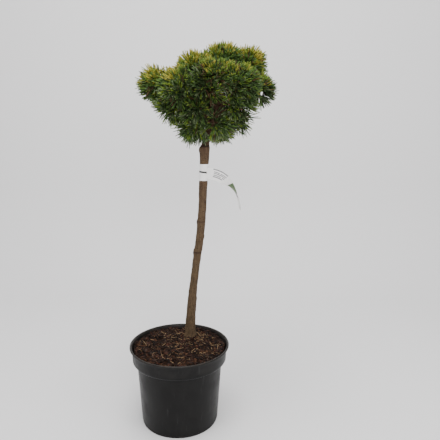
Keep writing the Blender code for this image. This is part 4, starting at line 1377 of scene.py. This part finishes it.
# %% Bands round the stem
BAND_BELLY = 0.0003


def band(name, look, low, high, out):
    """A strip that goes round the stem between two heights, a little away from it."""
    deselect()
    bpy.ops.mesh.primitive_cylinder_add(vertices=72, radius=1.0, depth=1.0, end_fill_type="NOTHING")
    piece = settle(bpy.context.object, name)
    edit()
    bpy.ops.mesh.subdivide(number_cuts=3)
    bpy.ops.object.mode_set(mode="OBJECT")
    for vert in piece.data.vertices:
        share = vert.co.z + 0.5
        outward = Vector((vert.co.x, vert.co.y, 0.0)).normalized()
        height = low + (high - low) * share
        at_slit = max(1.0 - abs(height - LABEL_SLIT) / (4.0 * SLIT_WIDTH), 0.0)
        height -= SLIT_SLANT * outward.x * at_slit
        belly = BAND_BELLY * math.sin(math.pi * share)
        vert.co = stem_point(height) + outward * (stem_radius(height) + out + belly)
    apply_modifier(piece, "SOLIDIFY", thickness=LABEL_THICK, offset=1.0)
    smooth(piece, 50.0)
    piece.data.materials.append(look)
    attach(piece, "root")
    print(name, triangles(piece), "triangles")


slit_low, slit_high = LABEL_SLIT - 0.5 * SLIT_WIDTH, LABEL_SLIT + 0.5 * SLIT_WIDTH
band("label_lower_band", white_plastic, LABEL_LOW, slit_low, 0.0014)
band("label_upper_band", white_plastic, slit_high, LABEL_HIGH, 0.0012)
# A dark band in the slit between the two bands, as painted shadow
band("label_slot", slot_dark, slit_low, slit_high, 0.0012)

# %% The free end
def cubic(handles, t):
    """Point on the cubic curve of four handles."""
    a, b, c, d = (Vector(handle) for handle in handles)
    return a * (1 - t) ** 3 + b * (3 * t * (1 - t) ** 2) + c * (3 * t * t * (1 - t)) + d * t ** 3


def tail_section(t):
    """Middle of the strip and the direction across it, at a share of its length."""
    middle = cubic(LABEL_BEND, t) + Vector((0.0, STEM_Y, 0.0))
    tangent = (cubic(LABEL_BEND, clamp(t + 0.01)) - cubic(LABEL_BEND, clamp(t - 0.01))).normalized()
    across = tangent.cross(Vector((0.0, 1.0, 0.0))).normalized()
    turn = clamp(1.6 * (t - 0.12))
    across.rotate(Matrix.Rotation(LABEL_TURN * turn * turn * (3.0 - 2.0 * turn), 3, tangent))
    return middle, across


# Grey bars as (from, to, low, high): shares of the length, and of the half width. The first runs along one
# edge, and the rest are rows of print.
PRINT_BARS = [(0.10, 0.36, 0.74, 0.94), (0.685, 0.79, -0.80, 0.30)]
for row, lengths_in_row in enumerate(((0.10, 0.12), (0.23,), (0.15, 0.06), (0.20,))):
    start = 0.12
    for bar in lengths_in_row:
        PRINT_BARS.append((start, start + bar, 0.36 - 0.28 * row, 0.52 - 0.28 * row))
        start += bar + 0.02
GREEN_BLOCK = (0.485, 0.685, -0.80, 0.80)


def inside(bar, t, v):
    """Whether a place on the strip lies in a bar."""
    return bar[0] < t < bar[1] and bar[2] < v < bar[3]


deselect()
bpy.ops.mesh.primitive_grid_add(x_subdivisions=TAIL_LONG, y_subdivisions=TAIL_WIDE, size=2.0)
tail = settle(bpy.context.object, "label_tail")
for look in (white_plastic, grey_print, green_print):
    tail.data.materials.append(look)
for face in tail.data.polygons:
    t, v = 0.5 * (face.center.x + 1.0), face.center.y
    if inside(GREEN_BLOCK, t, v):
        face.material_index = 2
    elif any(inside(bar, t, v) for bar in PRINT_BARS):
        face.material_index = 1
for vert in tail.data.vertices:
    middle, across = tail_section(0.5 * (vert.co.x + 1.0))
    corner = max(abs(vert.co.x) - (1.0 - TAIL_CORNER), 0.0) / TAIL_CORNER
    vert.co = middle + across * TAIL_HALF * vert.co.y * (1.0 - 0.12 * corner ** 2)
apply_modifier(tail, "SOLIDIFY", thickness=LABEL_THICK, offset=0.0)
smooth(tail, 50.0)
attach(tail, "root")
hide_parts("stem_label")
print("label tail", triangles(tail), "triangles")

# %% [markdown]
# ## Measure and finish
# The span of the dressed plant is measured and printed. The dressed plant has to stay in
# the box of its solids.

# %% Finish
low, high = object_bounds()
print("dressed span", [round(b - a, 3) for a, b in zip(low, high)])
